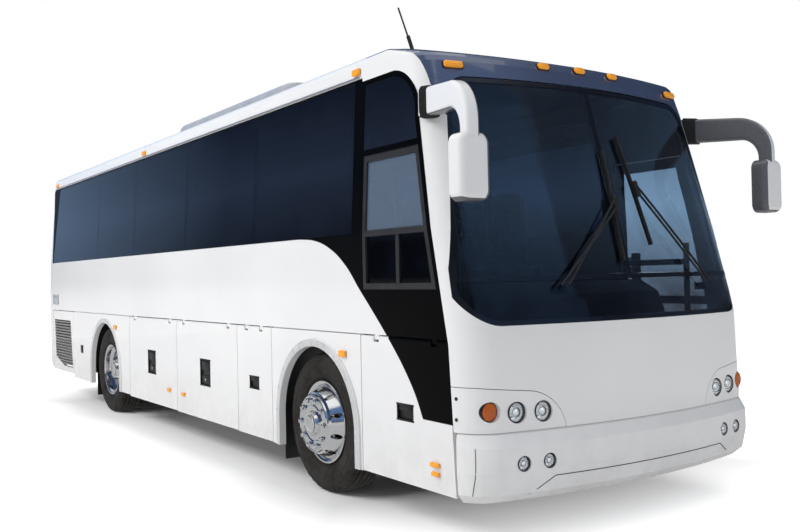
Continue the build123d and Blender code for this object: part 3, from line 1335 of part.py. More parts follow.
# Mirrors on arms from the roof corners
MIRROR_X = 1355
MIRROR_Z = 2143
MIRROR_W = 215
MIRROR_H = 375
MIRROR_D = 110
MIRROR_Y = FRONT_Y + MIRROR_D / 2
ARM_ROOT_X = 1200
ARM_ROOT_Y = FRONT_AXLE_Y - 1310
ARM_HALF = 44
ARM_ROUND = 26
with BuildPart() as mirrors:
    for side in (-1, 1):
        with BuildPart(mode=Mode.PRIVATE) as mirror_body:
            centre = (side * MIRROR_X, MIRROR_Y, MIRROR_Z)
            with BuildSketch(Plane(origin=centre, x_dir=(1, 0, 0), z_dir=(0, -1, 0))):
                RectangleRounded(MIRROR_W, MIRROR_H, 60)
            extrude(amount=MIRROR_D / 2, both=True)
            fillet(mirror_body.faces().sort_by(Axis.Y)[0].edges(), 40)
            arm_plane = Plane(
                origin=(side * ARM_ROOT_X, ARM_ROOT_Y, 0),
                x_dir=(side * (MIRROR_X - ARM_ROOT_X), MIRROR_Y - ARM_ROOT_Y, 0),
                z_dir=(side * (ARM_ROOT_Y - MIRROR_Y), side * side * (MIRROR_X - ARM_ROOT_X), 0),
            )
            reach = ((MIRROR_X - ARM_ROOT_X) ** 2 + (MIRROR_Y - ARM_ROOT_Y) ** 2) ** 0.5
            up = 1 if arm_plane.y_dir.Z > 0 else -1
            with BuildPart(mode=Mode.PRIVATE) as horn:
                with BuildSketch(arm_plane):
                    with BuildLine():
                        Line((0, up * 2520), (reach - 200, up * 2495))
                        bend = (reach - 95, up * 2455)
                        ThreePointArc((reach - 200, up * 2495), bend, (reach - 50, up * 2360))
                        Polyline((reach - 50, up * 2360), (reach - 50, up * 2300), (reach + 48, up * 2300))
                        Line((reach + 48, up * 2300), (reach + 48, up * 2400))
                        bend = (reach - 30, up * 2580)
                        ThreePointArc((reach + 48, up * 2400), bend, (reach - 190, up * 2655))
                        Polyline((reach - 190, up * 2655), (0, up * 2700), (0, up * 2520))
                    make_face()
                extrude(amount=ARM_HALF, both=True)
                fillet(horn.faces().filter_by(arm_plane).edges(), ARM_ROUND)
            add(horn.part)
            add(nose_wall, mode=Mode.SUBTRACT)
        add(mirror_body.part.solids().sort_by(SortBy.VOLUME)[-1])
keep(mirrors, "mirrors")

with BuildPart() as mirror_glass:
    for side in (-1, 1):
        glass_y = MIRROR_Y + MIRROR_D / 2 + SEAT_GAP
        centre = (side * MIRROR_X, glass_y, MIRROR_Z)
        with BuildSketch(Plane(origin=centre, x_dir=(-1, 0, 0), z_dir=(0, 1, 0))):
            RectangleRounded(MIRROR_W - 30, MIRROR_H - 30, 48)
        extrude(amount=5)
keep(mirror_glass, "mirror_glass")

# Wipers: pivot, blade head and blade foot in front view
WIPERS = (
    ((-600, 1454), (-6, 2350), (-46, 1620)),
    ((764, 1446), (172, 2455), (257, 1724)),
)
BLADE_OFF = 22
BLADE_HALF = 12
ARM_OFF = 52
ARM_SPREAD = 26
ARM_BAR = 14


def bar(start, end, width, depth):
    """Square-edged bar between two points, its width across the screen."""
    along = Vector(*end) - Vector(*start)
    across = Vector(0, 1, 0).cross(along)
    with Locations(Plane(origin=start, x_dir=across, z_dir=along)):
        Box(width, depth, along.length, align=(Align.CENTER, Align.CENTER, Align.MIN))


def off_screen(x, z, off):
    """Point held off the screen's outer face."""
    return (x, nose_y(x, z) - off, z)


with BuildPart() as wipers:
    for pivot, head, foot in WIPERS:
        with BuildPart(mode=Mode.PRIVATE) as wiper:
            stops = [tuple(a + t * (b - a) for a, b in zip(foot, head)) for t in (0, 0.33, 0.67, 1)]
            for low, high in zip(stops, stops[1:]):
                bar(off_screen(*low, BLADE_OFF), off_screen(*high, BLADE_OFF), 2 * BLADE_HALF, 2 * BLADE_HALF)
            middle = tuple((a + b) / 2 for a, b in zip(foot, head))
            for step in (-1, 1):
                root = off_screen(pivot[0] + step * ARM_SPREAD, pivot[1], ARM_OFF)
                tip = off_screen(middle[0], middle[1] + step * ARM_SPREAD, ARM_OFF)
                bar(root, tip, ARM_BAR, ARM_BAR)
            x, y, z = off_screen(*middle, BLADE_OFF)
            slab(x - 20, x + 20, y - ARM_OFF + BLADE_OFF - ARM_BAR, y, z - 60, z + 60)
            x, y, z = off_screen(*pivot, 0)
            slab(x - 48, x + 48, y - ARM_OFF - ARM_BAR, y + 40, z - 24, z + 24)
            add(windscreen.part, mode=Mode.SUBTRACT)
            add(windscreen_frame.part, mode=Mode.SUBTRACT)
        add(wiper.part.solids().sort_by(Axis.Y)[0])
keep(wipers, "wipers")

# Front lamps, amber lamps and tail lamps
LAMP_DEPTH = 46


def lamp_body(x, y, z, radius, out):
    """Round lamp with a domed lens, facing out along Y."""
    with BuildPart() as body:
        with Locations(Plane(origin=(x, y, z), z_dir=(0, out, 0))):
            Cylinder(radius, LAMP_DEPTH)
        fillet(body.faces().sort_by(Axis.Y)[0 if out < 0 else -1].edges(), 10)
    return body.part


with BuildPart() as headlamps:
    for kind, x, z, radius in FRONT_LAMPS:
        if kind != "turn":
            for side in (-1, 1):
                add(lamp_body(side * x, nose_y(x, z, kind) + 18, z, radius, -1))
keep(headlamps, "headlamps")

with BuildPart() as amber_lamps:
    for kind, x, z, radius in FRONT_LAMPS:
        if kind == "turn":
            for side in (-1, 1):
                add(lamp_body(side * x, nose_y(x, z) + 14, z, radius, -1))
keep(amber_lamps, "amber_lamps")

with BuildPart() as tail_lamps:
    for kind, x, z in TAIL_LAMPS:
        for side in (-1, 1):
            sag = TAIL_R - (TAIL_R**2 - x**2) ** 0.5
            add(lamp_body(side * x, REAR_Y - sag - 24, z, TAIL_LAMP_R, 1))
keep(tail_lamps, "tail_lamps")

# Roof climate unit, following the crown below
UNIT_HALF = 760
UNIT_FRONT_Y = FRONT_AXLE_Y + 1300
UNIT_REAR_Y = FRONT_AXLE_Y + 4100
UNIT_TOP_Z = 3315
with BuildPart() as roof_unit:
    with BuildSketch(Plane.XY.offset(CROWN_EDGE_Z - 20)):
        with Locations((0, (UNIT_FRONT_Y + UNIT_REAR_Y) / 2)):
            RectangleRounded(2 * UNIT_HALF, UNIT_REAR_Y - UNIT_FRONT_Y, 180)
    extrude(amount=UNIT_TOP_Z - CROWN_EDGE_Z + 20)
    fillet(roof_unit.faces().sort_by(Axis.Z)[-1].edges(), 90)
    with BuildSketch(cross_plane(REAR_Y + 100)):
        add(section_face(-SEAT_GAP, ((HALF + 300, 0), (HALF + 300, EAVE_Z))))
    extrude(amount=BODY_LENGTH, mode=Mode.SUBTRACT)
keep(roof_unit, "roof_unit")

# Aerial leaning back from the roof corner
AERIAL_X = -960
AERIAL_Y = FRONT_AXLE_Y - 880
AERIAL_LENGTH = 350


def rod(start, end, radius):
    """Round bar between two points."""
    along = Vector(*end) - Vector(*start)
    with Locations(Plane(origin=start, z_dir=along)):
        Cylinder(radius, along.length, align=(Align.CENTER, Align.CENTER, Align.MIN))


with BuildPart() as aerial:
    rod((AERIAL_X, AERIAL_Y, 3040), (AERIAL_X, AERIAL_Y + 170, 3040 + AERIAL_LENGTH), 6)
    rod((AERIAL_X, AERIAL_Y, 3040), (AERIAL_X, AERIAL_Y + 60, 3040 + 130), 13)
    add(nose_wall, mode=Mode.SUBTRACT)
keep(aerial, "aerial")
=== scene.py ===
import math

import bmesh
import bpy
from mathutils import Matrix, Vector
from mathutils.bvhtree import BVHTree


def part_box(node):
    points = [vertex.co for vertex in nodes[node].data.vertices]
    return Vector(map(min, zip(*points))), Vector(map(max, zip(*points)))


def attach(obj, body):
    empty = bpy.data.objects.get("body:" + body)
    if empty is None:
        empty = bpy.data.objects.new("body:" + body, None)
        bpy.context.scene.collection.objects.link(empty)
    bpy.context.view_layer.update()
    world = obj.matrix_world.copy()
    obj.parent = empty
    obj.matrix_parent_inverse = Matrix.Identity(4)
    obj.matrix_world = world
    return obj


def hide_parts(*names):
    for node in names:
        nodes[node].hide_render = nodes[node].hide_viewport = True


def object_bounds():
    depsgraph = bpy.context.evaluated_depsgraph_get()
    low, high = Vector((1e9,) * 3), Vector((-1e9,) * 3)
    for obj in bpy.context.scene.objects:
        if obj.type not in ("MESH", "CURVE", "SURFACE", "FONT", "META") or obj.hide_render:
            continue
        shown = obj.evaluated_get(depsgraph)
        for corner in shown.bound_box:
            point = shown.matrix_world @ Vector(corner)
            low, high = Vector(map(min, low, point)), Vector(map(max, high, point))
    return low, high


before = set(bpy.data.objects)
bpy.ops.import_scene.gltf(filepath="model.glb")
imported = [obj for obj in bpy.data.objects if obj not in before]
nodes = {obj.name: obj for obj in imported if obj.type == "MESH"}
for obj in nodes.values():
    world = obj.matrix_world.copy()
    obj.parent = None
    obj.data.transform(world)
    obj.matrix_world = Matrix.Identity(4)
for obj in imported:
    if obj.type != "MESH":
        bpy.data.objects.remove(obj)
cad_low, cad_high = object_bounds()
stage_scene = bpy.context.scene
stage_scene.view_settings.view_transform = "Standard"

# Stations in metres that the pieces share with the solids
HALF = 1.275
FRONT_AXLE_Y = -3.05
REAR_AXLE_Y = 2.15
TYRE_R = 0.506
TRACK_X = 1.09
TWIN_PITCH = 0.325
DECK_Z = 1.195
CAB_FLOOR_Z = 0.86
HANDLE_Z = 0.712
SIDES = ((-1, "right"), (1, "left"))

# Materials: most of a noise lies between these two values
NOISE_SPAN = (0.3, 0.7)


class Finish:
    """A procedural material: one Principled shader and the nodes that feed it."""

    def __init__(self, name, **sockets):
        self.material = bpy.data.materials.new(name)
        self.material.use_nodes = True
        self.tree = self.material.node_tree
        self.shader = self.tree.nodes["Principled BSDF"]
        coord = self.tree.nodes.new("ShaderNodeTexCoord")
        self.place = coord.outputs["Object"]
        self.facing = coord.outputs["Normal"]
        for socket, value in sockets.items():
            self.feed(self.shader.inputs[socket.replace("_", " ")], value)

    def feed(self, socket, value):
        if isinstance(value, bpy.types.NodeSocket):
            self.tree.links.new(value, socket)
        elif socket.type == "RGBA":
            socket.default_value = (*value, 1.0)
        else:
            socket.default_value = value

    def to(self, socket, value):
        self.feed(self.shader.inputs[socket], value)
        return self

    def node(self, kind, inputs=(), **settings):
        made = self.tree.nodes.new("ShaderNode" + kind)
        for key, value in settings.items():
            setattr(made, key, value)
        for key, value in dict(inputs).items():
            self.feed(made.inputs[key], value)
        return made

    def noise(self, scale, detail=3.0, rough=0.5, stretch=None):
        place = self.place
        if stretch:
            place = self.node("Mapping", {"Vector": place, "Scale": stretch}).outputs["Vector"]
        inputs = {"Vector": place, "Scale": scale, "Detail": detail, "Roughness": rough}
        return self.node("TexNoise", inputs).outputs["Fac"]

    def math(self, operation, a, b=0.0):
        return self.node("Math", {0: a, 1: b}, operation=operation).outputs["Value"]

    def times(self, product, *others):
        for other in others:
            product = self.math("MULTIPLY", product, other)
        return product

    def span(self, value, low, high, out_low=0.0, out_high=1.0):
        inputs = {"Value": value, "From Min": low, "From Max": high, "To Min": out_low, "To Max": out_high}
        return self.node("MapRange", inputs).outputs["Result"]

    def ramp(self, factor, *stops):
        made = self.node("ValToRGB", {"Fac": factor})
        band = made.color_ramp
        while len(band.elements) < len(stops):
            band.elements.new(0.5)
        for element, (position, colour) in zip(band.elements, stops):
            element.position = position
            element.color = (*colour, 1.0)
        return made.outputs["Color"]

    def mix(self, factor, a, b):
        return self.node("Mix", {0: factor, 6: a, 7: b}, data_type="RGBA").outputs[2]

    def mottle(self, dark, light, *noise):
        """Two tones in soft patches."""
        return self.ramp(self.noise(*noise), (NOISE_SPAN[0], dark), (NOISE_SPAN[1], light))

    def vary(self, low, high, *noise):
        """A value that wanders between two others."""
        return self.span(self.noise(*noise), *NOISE_SPAN, low, high)

    def axes(self, vector):
        return tuple(self.node("SeparateXYZ", {"Vector": vector}).outputs)

    def look(self, colour, rough):
        return self.to("Base Color", colour).to("Roughness", rough)

    def bump(self, height, strength, distance):
        made = self.node("Bump", {"Height": height, "Strength": strength, "Distance": distance})
        return self.to("Normal", made.outputs["Normal"])


# Black sweep on each side: station and height of its lower edge
SWEEP = (
    (-4.7, 0.69), (-4.387, 0.692), (-4.317, 0.823), (-4.196, 0.983), (-4.022, 1.166), (-3.838, 1.34),
    (-3.692, 1.471), (-3.508, 1.642), (-3.307, 1.759), (-3.1, 1.822), (-2.899, 1.842), (-2.7, 1.846),
)
SWEEP_CORNERS = 2
SWEEP_Y = (-4.7, -2.7)
SWEEP_Z = (0.6, 2.0)

# Louvred part of the engine doors: station and height of its corners, in order round it
GRILLE = ((3.74, 1.05), (3.65, 0.42), (4.1, 0.42), (4.54, 0.53), (4.6, 1.05))

# Heights between which dust films the lower body, and above which inner faces are lined
DUST_Z = (0.75, 0.25)
LINING_Z = 1.2
WHITE_COAT, WHITE_GLOSS, SWEEP_GLOSS = 0.7, 0.4, 0.06


def share(pair, value):
    return (value - pair[0]) / (pair[1] - pair[0])


def inside(f, y, z, corners):
    """How far a point lies inside a convex outline in side view."""
    deep = None
    for (y0, z0), (y1, z1) in zip(corners, corners[1:] + corners[:1]):
        long = math.hypot(y1 - y0, z1 - z0)
        over = f.times(f.math("SUBTRACT", z, z0), (y1 - y0) / long)
        past = f.math("SUBTRACT", over, f.times(f.math("SUBTRACT", y, y0), (z1 - z0) / long))
        deep = past if deep is None else f.math("MINIMUM", deep, past)
    return deep


def coach_paint(name, sweep=False, grille=False):
    """Gloss white with a dusty foot; sides take the black sweep, inner faces the cabin lining."""
    f = Finish(name, Coat_Weight=WHITE_COAT, Coat_Roughness=0.04, Specular_IOR_Level=WHITE_GLOSS)
    x, y, z = f.axes(f.place)
    white = f.mottle((0.77, 0.775, 0.785), (0.83, 0.832, 0.838), 0.7)
    grime = f.span(f.noise(5.0, 6.0, 0.65), 0.4, 0.75, 0.05, 0.5)
    film = f.times(f.span(z, *DUST_Z), grime)
    colour = f.mix(film, white, (0.55, 0.53, 0.5))
    if sweep:
        curve = f.node("FloatCurve", {"Value": f.span(y, *SWEEP_Y)})
        line = curve.mapping.curves[0]
        spots = [(share(SWEEP_Y, a), share(SWEEP_Z, b)) for a, b in SWEEP]
        line.points[0].location = spots[0]
        line.points[-1].location = spots[-1]
        for spot in spots[1:-1]:
            line.points.new(*spot)
        for point in line.points[:SWEEP_CORNERS]:
            point.handle_type = "VECTOR"
        curve.mapping.update()
        edge = f.span(curve.outputs["Value"], 0.0, 1.0, *SWEEP_Z)
        black = f.mottle((0.0006, 0.0006, 0.0008), (0.0016, 0.0016, 0.002), 2.5)
        dark = f.span(f.math("SUBTRACT", z, edge), -0.002, 0.002)
        colour = f.mix(dark, colour, black)
        f.to("Coat Weight", f.span(dark, 0.0, 1.0, WHITE_COAT, 0.0))
        f.to("Specular IOR Level", f.span(dark, 0.0, 1.0, WHITE_GLOSS, SWEEP_GLOSS))
    if grille:
        grey = f.mottle((0.1, 0.1, 0.103), (0.16, 0.16, 0.163), 60.0, 4.0)
        colour = f.mix(f.span(inside(f, y, z, GRILLE), -0.001, 0.001), colour, grey)
    nx, _, nz = f.axes(f.facing)
    inward = f.math("LESS_THAN", f.times(nx, x), -0.25)
    under = f.math("LESS_THAN", nz, -0.6)
    deck = f.math("GREATER_THAN", z, LINING_Z)
    lining = f.times(f.math("MAXIMUM", inward, under), deck)
    cloth = f.mottle((0.08, 0.084, 0.095), (0.13, 0.134, 0.145), 160.0, 2.0)
    f.look(f.mix(lining, colour, cloth), f.vary(0.36, 0.42, 9.0, 5.0, 0.6))
    return f.bump(f.noise(140.0, 2.0), 0.015, 0.002).material


def cap_paint():
    """Dark blue-black gloss with a fine metal fleck."""
    f = Finish("cap_paint", Coat_Weight=1.0, Coat_Roughness=0.03, Metallic=0.35)
    fleck = f.node("TexVoronoi", {"Vector": f.place, "Scale": 900.0}).outputs["Color"]
    shine = f.times(f.axes(fleck)[0], 0.35)
    deep = f.mottle((0.06, 0.085, 0.16), (0.08, 0.11, 0.2), 1.2)
    f.look(f.mix(shine, deep, (0.12, 0.16, 0.28)), f.vary(0.24, 0.34, 7.0, 4.0))
    return f.bump(f.noise(150.0, 2.0), 0.015, 0.002).material


def plastic(name, dark, light, rough, grain, depth=0.12, coat=0.0):
    """Moulded plastic or rubber with a fine grain and dusty patches."""
    f = Finish(name, Coat_Weight=coat, Coat_Roughness=0.1)
    colour = f.ramp(f.noise(4.0, 6.0, 0.6), (0.3, dark), (0.75, light))
    f.look(colour, f.vary(rough - 0.08, rough + 0.08, 22.0, 4.0))
    return f.bump(f.noise(grain, 2.0), depth, 0.001).material


def metal(name, colour, rough, streak=(1.0, 1.0, 1.0), depth=0.03, dust=0.1):
    """Bare or plated metal with brushed streaks and a light film of dust."""
    f = Finish(name, Metallic=1.0)
    grain = f.noise(90.0, 3.0, 0.6, streak)
    film = f.span(f.noise(6.0, 6.0, 0.65), 0.45, 0.8, 0.0, dust)
    bright = f.ramp(grain, (0.25, tuple(0.9 * c for c in colour)), (0.75, colour))
    f.to("Base Color", f.mix(film, bright, (0.3, 0.28, 0.26)))
    f.to("Roughness", f.span(grain, 0.2, 0.8, max(0.02, rough - 0.04), rough + 0.06))
    return f.bump(grain, depth, 0.0006).material


def glass(name, low, mid, high, painted_reflection_z, weight, gloss, pane=None):
    """Tinted pane whose colour runs with its height, from the low through the mid to the high tone: a
    painted reflection over the tint, with faint film marks; one pane may take a paler painted reflection.
    """
    f = Finish(name, Transmission_Weight=weight, IOR=1.45, Specular_IOR_Level=gloss)
    x, y, z = f.axes(f.place)
    # Painted reflection: the colour goes from the low through the mid to the high tone with height.
    tint_and_reflection = f.ramp(f.span(z, *painted_reflection_z), (0.0, low), (0.45, mid), (1.0, high))
    smear = f.span(f.noise(3.0, 5.0, 0.6), 0.45, 0.8, 0.0, 0.25)
    tint_and_reflection = f.mix(smear, tint_and_reflection, tuple(min(1.0, 1.2 * c + 0.004) for c in mid))
    # Painted reflection: the given pane takes the paler tone.
    if pane:
        (y0, z0), (y1, z1), pale = pane
        past = (f.math("GREATER_THAN", y, y0), f.math("GREATER_THAN", z, z0))
        short = (f.math("LESS_THAN", y, y1), f.math("LESS_THAN", z, z1))
        tint_and_reflection = f.mix(f.times(*past, *short), tint_and_reflection, pale)
    return f.look(tint_and_reflection, f.span(f.noise(14.0, 5.0, 0.65), 0.4, 0.8, 0.0, 0.05)).material


def lens(name, colour, deep, weight=0.55, glow=0.0):
    """Moulded lamp lens with a pressed prism pattern."""
    f = Finish(name, Transmission_Weight=weight, IOR=1.49, Coat_Weight=0.5, Coat_Roughness=0.05)
    cells = f.node("TexVoronoi", {"Vector": f.place, "Scale": 160.0}, feature="DISTANCE_TO_EDGE")
    cells = cells.outputs["Distance"]
    f.look(f.ramp(f.span(cells, 0.0, 0.3), (0.0, deep), (0.8, colour)), f.vary(0.1, 0.2, 40.0))
    if glow:
        f.to("Emission Color", colour).to("Emission Strength", glow)
    return f.bump(cells, 0.25, 0.002).material


THREADS = 2600.0


def fabric(name, dark, light, fleck):
    """Woven moquette: crossed threads, a small fleck and a soft sheen."""
    f = Finish(name, Sheen_Weight=0.35, Sheen_Roughness=0.45, Specular_IOR_Level=0.2)
    x, y, z = f.axes(f.place)
    warp = f.math("SINE", f.times(x, THREADS))
    weft = f.math("SINE", f.times(f.math("ADD", y, z), THREADS))
    weave = f.times(warp, weft)
    base = f.mottle(dark, light, 30.0, 5.0, 0.65)
    dots = f.node("TexVoronoi", {"Vector": f.place, "Scale": 38.0}).outputs["Distance"]
    f.to("Base Color", f.mix(f.span(dots, 0.22, 0.12, 0.0, 0.8), base, fleck))
    f.to("Roughness", f.span(weave, -1.0, 1.0, 0.82, 0.95))
    return f.bump(weave, 0.35, 0.0012).material


def tyre_rubber():
    """Road-worn rubber: grey dust in the tread, fine moulding lines on the walls."""
    f = Finish("tyre_rubber", Specular_IOR_Level=0.2)
    tones = ((0.3, (0.016, 0.015, 0.014)), (0.75, (0.048, 0.044, 0.04)))
    f.look(f.ramp(f.noise(7.0, 6.0, 0.7), *tones), f.vary(0.62, 0.82, 30.0, 4.0))
    return f.bump(f.noise(260.0, 3.0), 0.2, 0.0012).material


# Upper sliding pane of the cab window: its near and far corners in side view, and its paler tone, a painted
# reflection
CAB_PANE_REFLECTION = ((-4.6, 1.86), (-3.72, 2.36), (0.3, 0.4, 0.54))

WHITE = coach_paint("coach_paint")
SIDE_WHITE = coach_paint("coach_side_paint", sweep=True)
GRILLE_WHITE = coach_paint("coach_grille_paint", grille=True)
CAP = cap_paint()
BLACK_GLOSS = plastic("black_gloss", (0.004, 0.005, 0.007), (0.009, 0.01, 0.013), 0.2, 200.0, 0.02, coat=0.3)
BLACK = plastic("black_plastic", (0.005, 0.005, 0.0055), (0.013, 0.013, 0.0135), 0.42, 320.0)
RUBBER = plastic("black_rubber", (0.01, 0.01, 0.01), (0.022, 0.021, 0.02), 0.62, 420.0)
TRIM = plastic("cabin_trim", (0.04, 0.042, 0.048), (0.07, 0.072, 0.08), 0.6, 500.0, 0.2)
FLOORING = plastic("cabin_floor", (0.05, 0.05, 0.055), (0.12, 0.12, 0.125), 0.55, 260.0, 0.15)
CHASSIS = plastic("chassis_paint", (0.016, 0.016, 0.017), (0.05, 0.045, 0.04), 0.55, 120.0, 0.2)
RIM = metal("polished_rim", (0.88, 0.885, 0.89), 0.13, (1.0, 1.0, 1.0), 0.02, 0.12)
CHROME = metal("chrome", (0.86, 0.87, 0.88), 0.05, dust=0.04)
ALUMINIUM = metal("brushed_aluminium", (0.9, 0.9, 0.905), 0.4, (1.0, 0.05, 1.0), 0.05)
FRAME_GREY = plastic("window_frame_grey", (0.018, 0.018, 0.019), (0.034, 0.034, 0.036), 0.42, 240.0, 0.08)
SILVER = plastic("silver_trim", (0.52, 0.525, 0.535), (0.64, 0.645, 0.655), 0.3, 220.0, 0.03, coat=0.4)
UNIT_GREY = plastic("unit_grey", (0.3, 0.31, 0.34), (0.42, 0.43, 0.46), 0.34, 180.0, 0.05, coat=0.3)
LOUVRE = metal("louvre_grey", (0.34, 0.34, 0.345), 0.42, (1.0, 0.1, 1.0), 0.06, 0.2)
MIRROR = metal("mirror_silver", (0.88, 0.9, 0.92), 0.02, dust=0.03)
# Glass: each pane's colour runs with height from its low through its mid to its high tone, a painted
# reflection over its tint; the door and lamp glass change only slightly.
TINT_AND_REFLECTION = glass(
    "tinted_glass", (0.006, 0.008, 0.013), (0.04, 0.058, 0.1), (0.008, 0.012, 0.024),
    (1.84, 2.9), 0.75, 0.2, CAB_PANE_REFLECTION,
)
CLEAR_AND_REFLECTION = glass(
    "screen_glass_painted_reflection", (0.06, 0.07, 0.09), (0.25, 0.39, 0.56), (0.12, 0.18, 0.28),
    (1.4, 2.75), 0.99, 0.3,
)
DOOR_GLASS = glass(
    "door_glass", (0.7, 0.76, 0.8), (0.76, 0.82, 0.86), (0.7, 0.76, 0.82),
    (0.9, 2.7), 0.99, 0.3,
)
LAMP_GLASS = glass(
    "lamp_glass", (0.9, 0.92, 0.94), (0.93, 0.95, 0.96), (0.9, 0.92, 0.94),
    (0.3, 1.0), 1.0, 0.5,
)
AMBER = lens("amber_lens", (0.66, 0.15, 0.003), (0.42, 0.08, 0.002), 0.15, 0.04)
MARKER_AMBER = lens("marker_amber", (0.95, 0.4, 0.02), (0.8, 0.27, 0.008), 0.1, 0.22)
RED = lens("red_lens", (0.7, 0.02, 0.015), (0.4, 0.005, 0.005), 0.35)
SEAT_CLOTH = fabric("seat_moquette", (0.035, 0.042, 0.07), (0.065, 0.075, 0.115), (0.22, 0.25, 0.34))
SEAT_TRIM = plastic("seat_vinyl", (0.018, 0.019, 0.022), (0.034, 0.035, 0.04), 0.5, 240.0, 0.25)
TYRE = tyre_rubber()

WHEEL_NAMES = ("front_right", "front_left", "rear_right", "rear_left")
NODE_FINISH = {
    WHITE: (
        "front_mask", "lamp_panels", "roof_corners", "roof", "rear_wall", "front_bumper", "rear_bumper",
        "mirrors", "engine_hatch",
    ),
    UNIT_GREY: ("roof_unit",),
    GRILLE_WHITE: ("engine_door_right", "engine_door_left"),
    SIDE_WHITE: (
        "side_walls", "skirts", "cab_panel", "service_door", "entry_door", "entry_header", "fuel_door",
        "battery_door", "luggage_door_right_front", "luggage_door_right_rear", "luggage_door_left_front",
        "luggage_door_left_rear", "door_hinges",
    ),
    CAP: ("roof_cap",),
    BLACK_GLOSS: ("windscreen_frame",),
    FRAME_GREY: ("cab_window_frame",),
    TINT_AND_REFLECTION: ("body_glass",),
    DOOR_GLASS: ("entry_glass",),
    CLEAR_AND_REFLECTION: ("windscreen",),
    RIM: [f"rim_{wheel}" for wheel in WHEEL_NAMES],
    TYRE: [f"tyre_{wheel}" for wheel in WHEEL_NAMES],
    MIRROR: ("mirror_glass",),
    AMBER: ("amber_lamps",),
    RED: ("tail_lamps",),
    LAMP_GLASS: ("headlamps",),
    RUBBER: ("wipers", "aerial"),
    CHASSIS: (
        "chassis_frame", "front_axle", "rear_axle", "knuckle_right", "knuckle_left", "engine_block",
        "hatch_hinges",
    ),
    LOUVRE: ("luggage_bay",),
    FLOORING: ("floor_deck",),
    BLACK: ("wheel_housings", "entry_arm"),
    TRIM: ("dashboard", "parcel_racks"),
    SEAT_CLOTH: ("passenger_seats", "driver_seat"),
}

for finish, names in NODE_FINISH.items():
    for node_name in names:
        materials = nodes[node_name].data.materials
        materials.clear()
        materials.append(finish)

# Mesh building
WELD = 1e-6


def placed(name, data):
    """A new object in the scene."""
    made = bpy.data.objects.new(name, data)
    stage_scene.collection.objects.link(made)
    return made


class Build:
    """Gathers closed forms into one mesh, each with its material slot."""

    def __init__(self):
        self.mesh = bmesh.new()

    def skin(self, low, high, slot):
        """Faces between two rings of vertices, either of which may be a single point."""
        for step in range(max(len(low), len(high))):
            after = step + 1
            lower = (low[step % len(low)], low[after % len(low)])
            upper = (high[after % len(high)], high[step % len(high)])
            corners = list(dict.fromkeys(lower + upper))
            if len(corners) > 2:
                self.mesh.faces.new(corners).material_index = slot

    def revolve(self, rows, place, steps=48, slot=0, shape=None):
        """Turns rows of (radius, height) about place's Z axis; shape(row, step) may trim a radius."""
        rings = []
        for index, (radius, height) in enumerate(rows):
            ring = []
            for step in range(steps if radius > WELD else 1):
                turn = math.tau * step / steps
                trimmed = radius - (shape(index, step) if shape else 0.0)
                spot = Vector((trimmed * math.cos(turn), trimmed * math.sin(turn), height))
                ring.append(self.mesh.verts.new(place @ spot))
            rings.append(ring)
        for low, high in zip(rings, rings[1:]):
            self.skin(low, high, slot)

    def block(self, size, place, round_by=0.0, slot=0, segments=2):
        """A box with rounded edges, centred on place."""
        made = bmesh.ops.create_cube(self.mesh, size=1.0, matrix=place @ Matrix.Diagonal((*size, 1.0)))
        verts = made["verts"]
        for face in {f for v in verts for f in v.link_faces}:
            face.material_index = slot
        if round_by:
            edges = list({e for v in verts for e in v.link_edges})
            bmesh.ops.bevel(
                self.mesh, geom=edges, offset=round_by, segments=segments, profile=0.5, affect="EDGES",
                material=slot,
            )

    def tube(self, points, radius, sides=10, slot=0, flat=1.0, side_axis=None):
        """A bar along points; flat squeezes it across side_axis."""
        points = [Vector(p) for p in points]
        turns = [math.tau * step / sides for step in range(sides)]
        loops = []
        for i, point in enumerate(points):
            along = (points[min(i + 1, len(points) - 1)] - points[max(i - 1, 0)]).normalized()
            first = Vector(side_axis or ((0, 0, 1) if abs(along.z) < 0.9 else (0, 1, 0)))
            first = (first - along * first.dot(along)).normalized()
            second = along.cross(first)
            ring = [flat * math.cos(t) * first + math.sin(t) * second for t in turns]
            loops.append([point + radius * out for out in ring])
        self.strip(loops, slot)

    def strip(self, loops, slot=0):
        """Skins rows of points, each row a closed section, and caps both ends."""
        rings = [[self.mesh.verts.new(p) for p in loop] for loop in loops]
        for low, high in zip(rings, rings[1:]):
            self.skin(low, high, slot)
        for ring in (rings[0], rings[-1]):
            self.mesh.faces.new(ring).material_index = slot

    def piece(self, name, body, *materials, sharp=32.0):
        """Closes the mesh as an object that rides on a body."""
        bmesh.ops.remove_doubles(self.mesh, verts=self.mesh.verts, dist=WELD)
        bmesh.ops.recalc_face_normals(self.mesh, faces=self.mesh.faces)
        for face in self.mesh.faces:
            face.smooth = True
        limit = math.radians(sharp)
        for edge in self.mesh.edges:
            edge.smooth = len(edge.link_faces) == 2 and edge.calc_face_angle(0.0) < limit
        mesh = bpy.data.meshes.new(name)
        self.mesh.to_mesh(mesh)
        self.mesh.free()
        for material in materials:
            mesh.materials.append(material)
        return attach(placed(name, mesh), body)


def shift(x, y, z):
    return Matrix.Translation((x, y, z))


def between(pair, part):
    return pair[0] + part * (pair[1] - pair[0])


def round_axis(count, radius, height=0.0, first=0.0):
    """Turns and placings set evenly round the Z axis."""
    turns = [math.tau * (step + first) / count for step in range(count)]
    return [(turn, shift(radius * math.cos(turn), radius * math.sin(turn), height)) for turn in turns]


def button(radius, wall, top, high):
    """Rows of a round head: straight wall, then a slope to its flat top."""
    return ((0.0, 0.0), (radius, 0.0), (radius, wall), (top, high), (0.0, high))


TREES = {}
FRONT_RAY_Y = -7.0
SIDE_RAY_X = 2.0


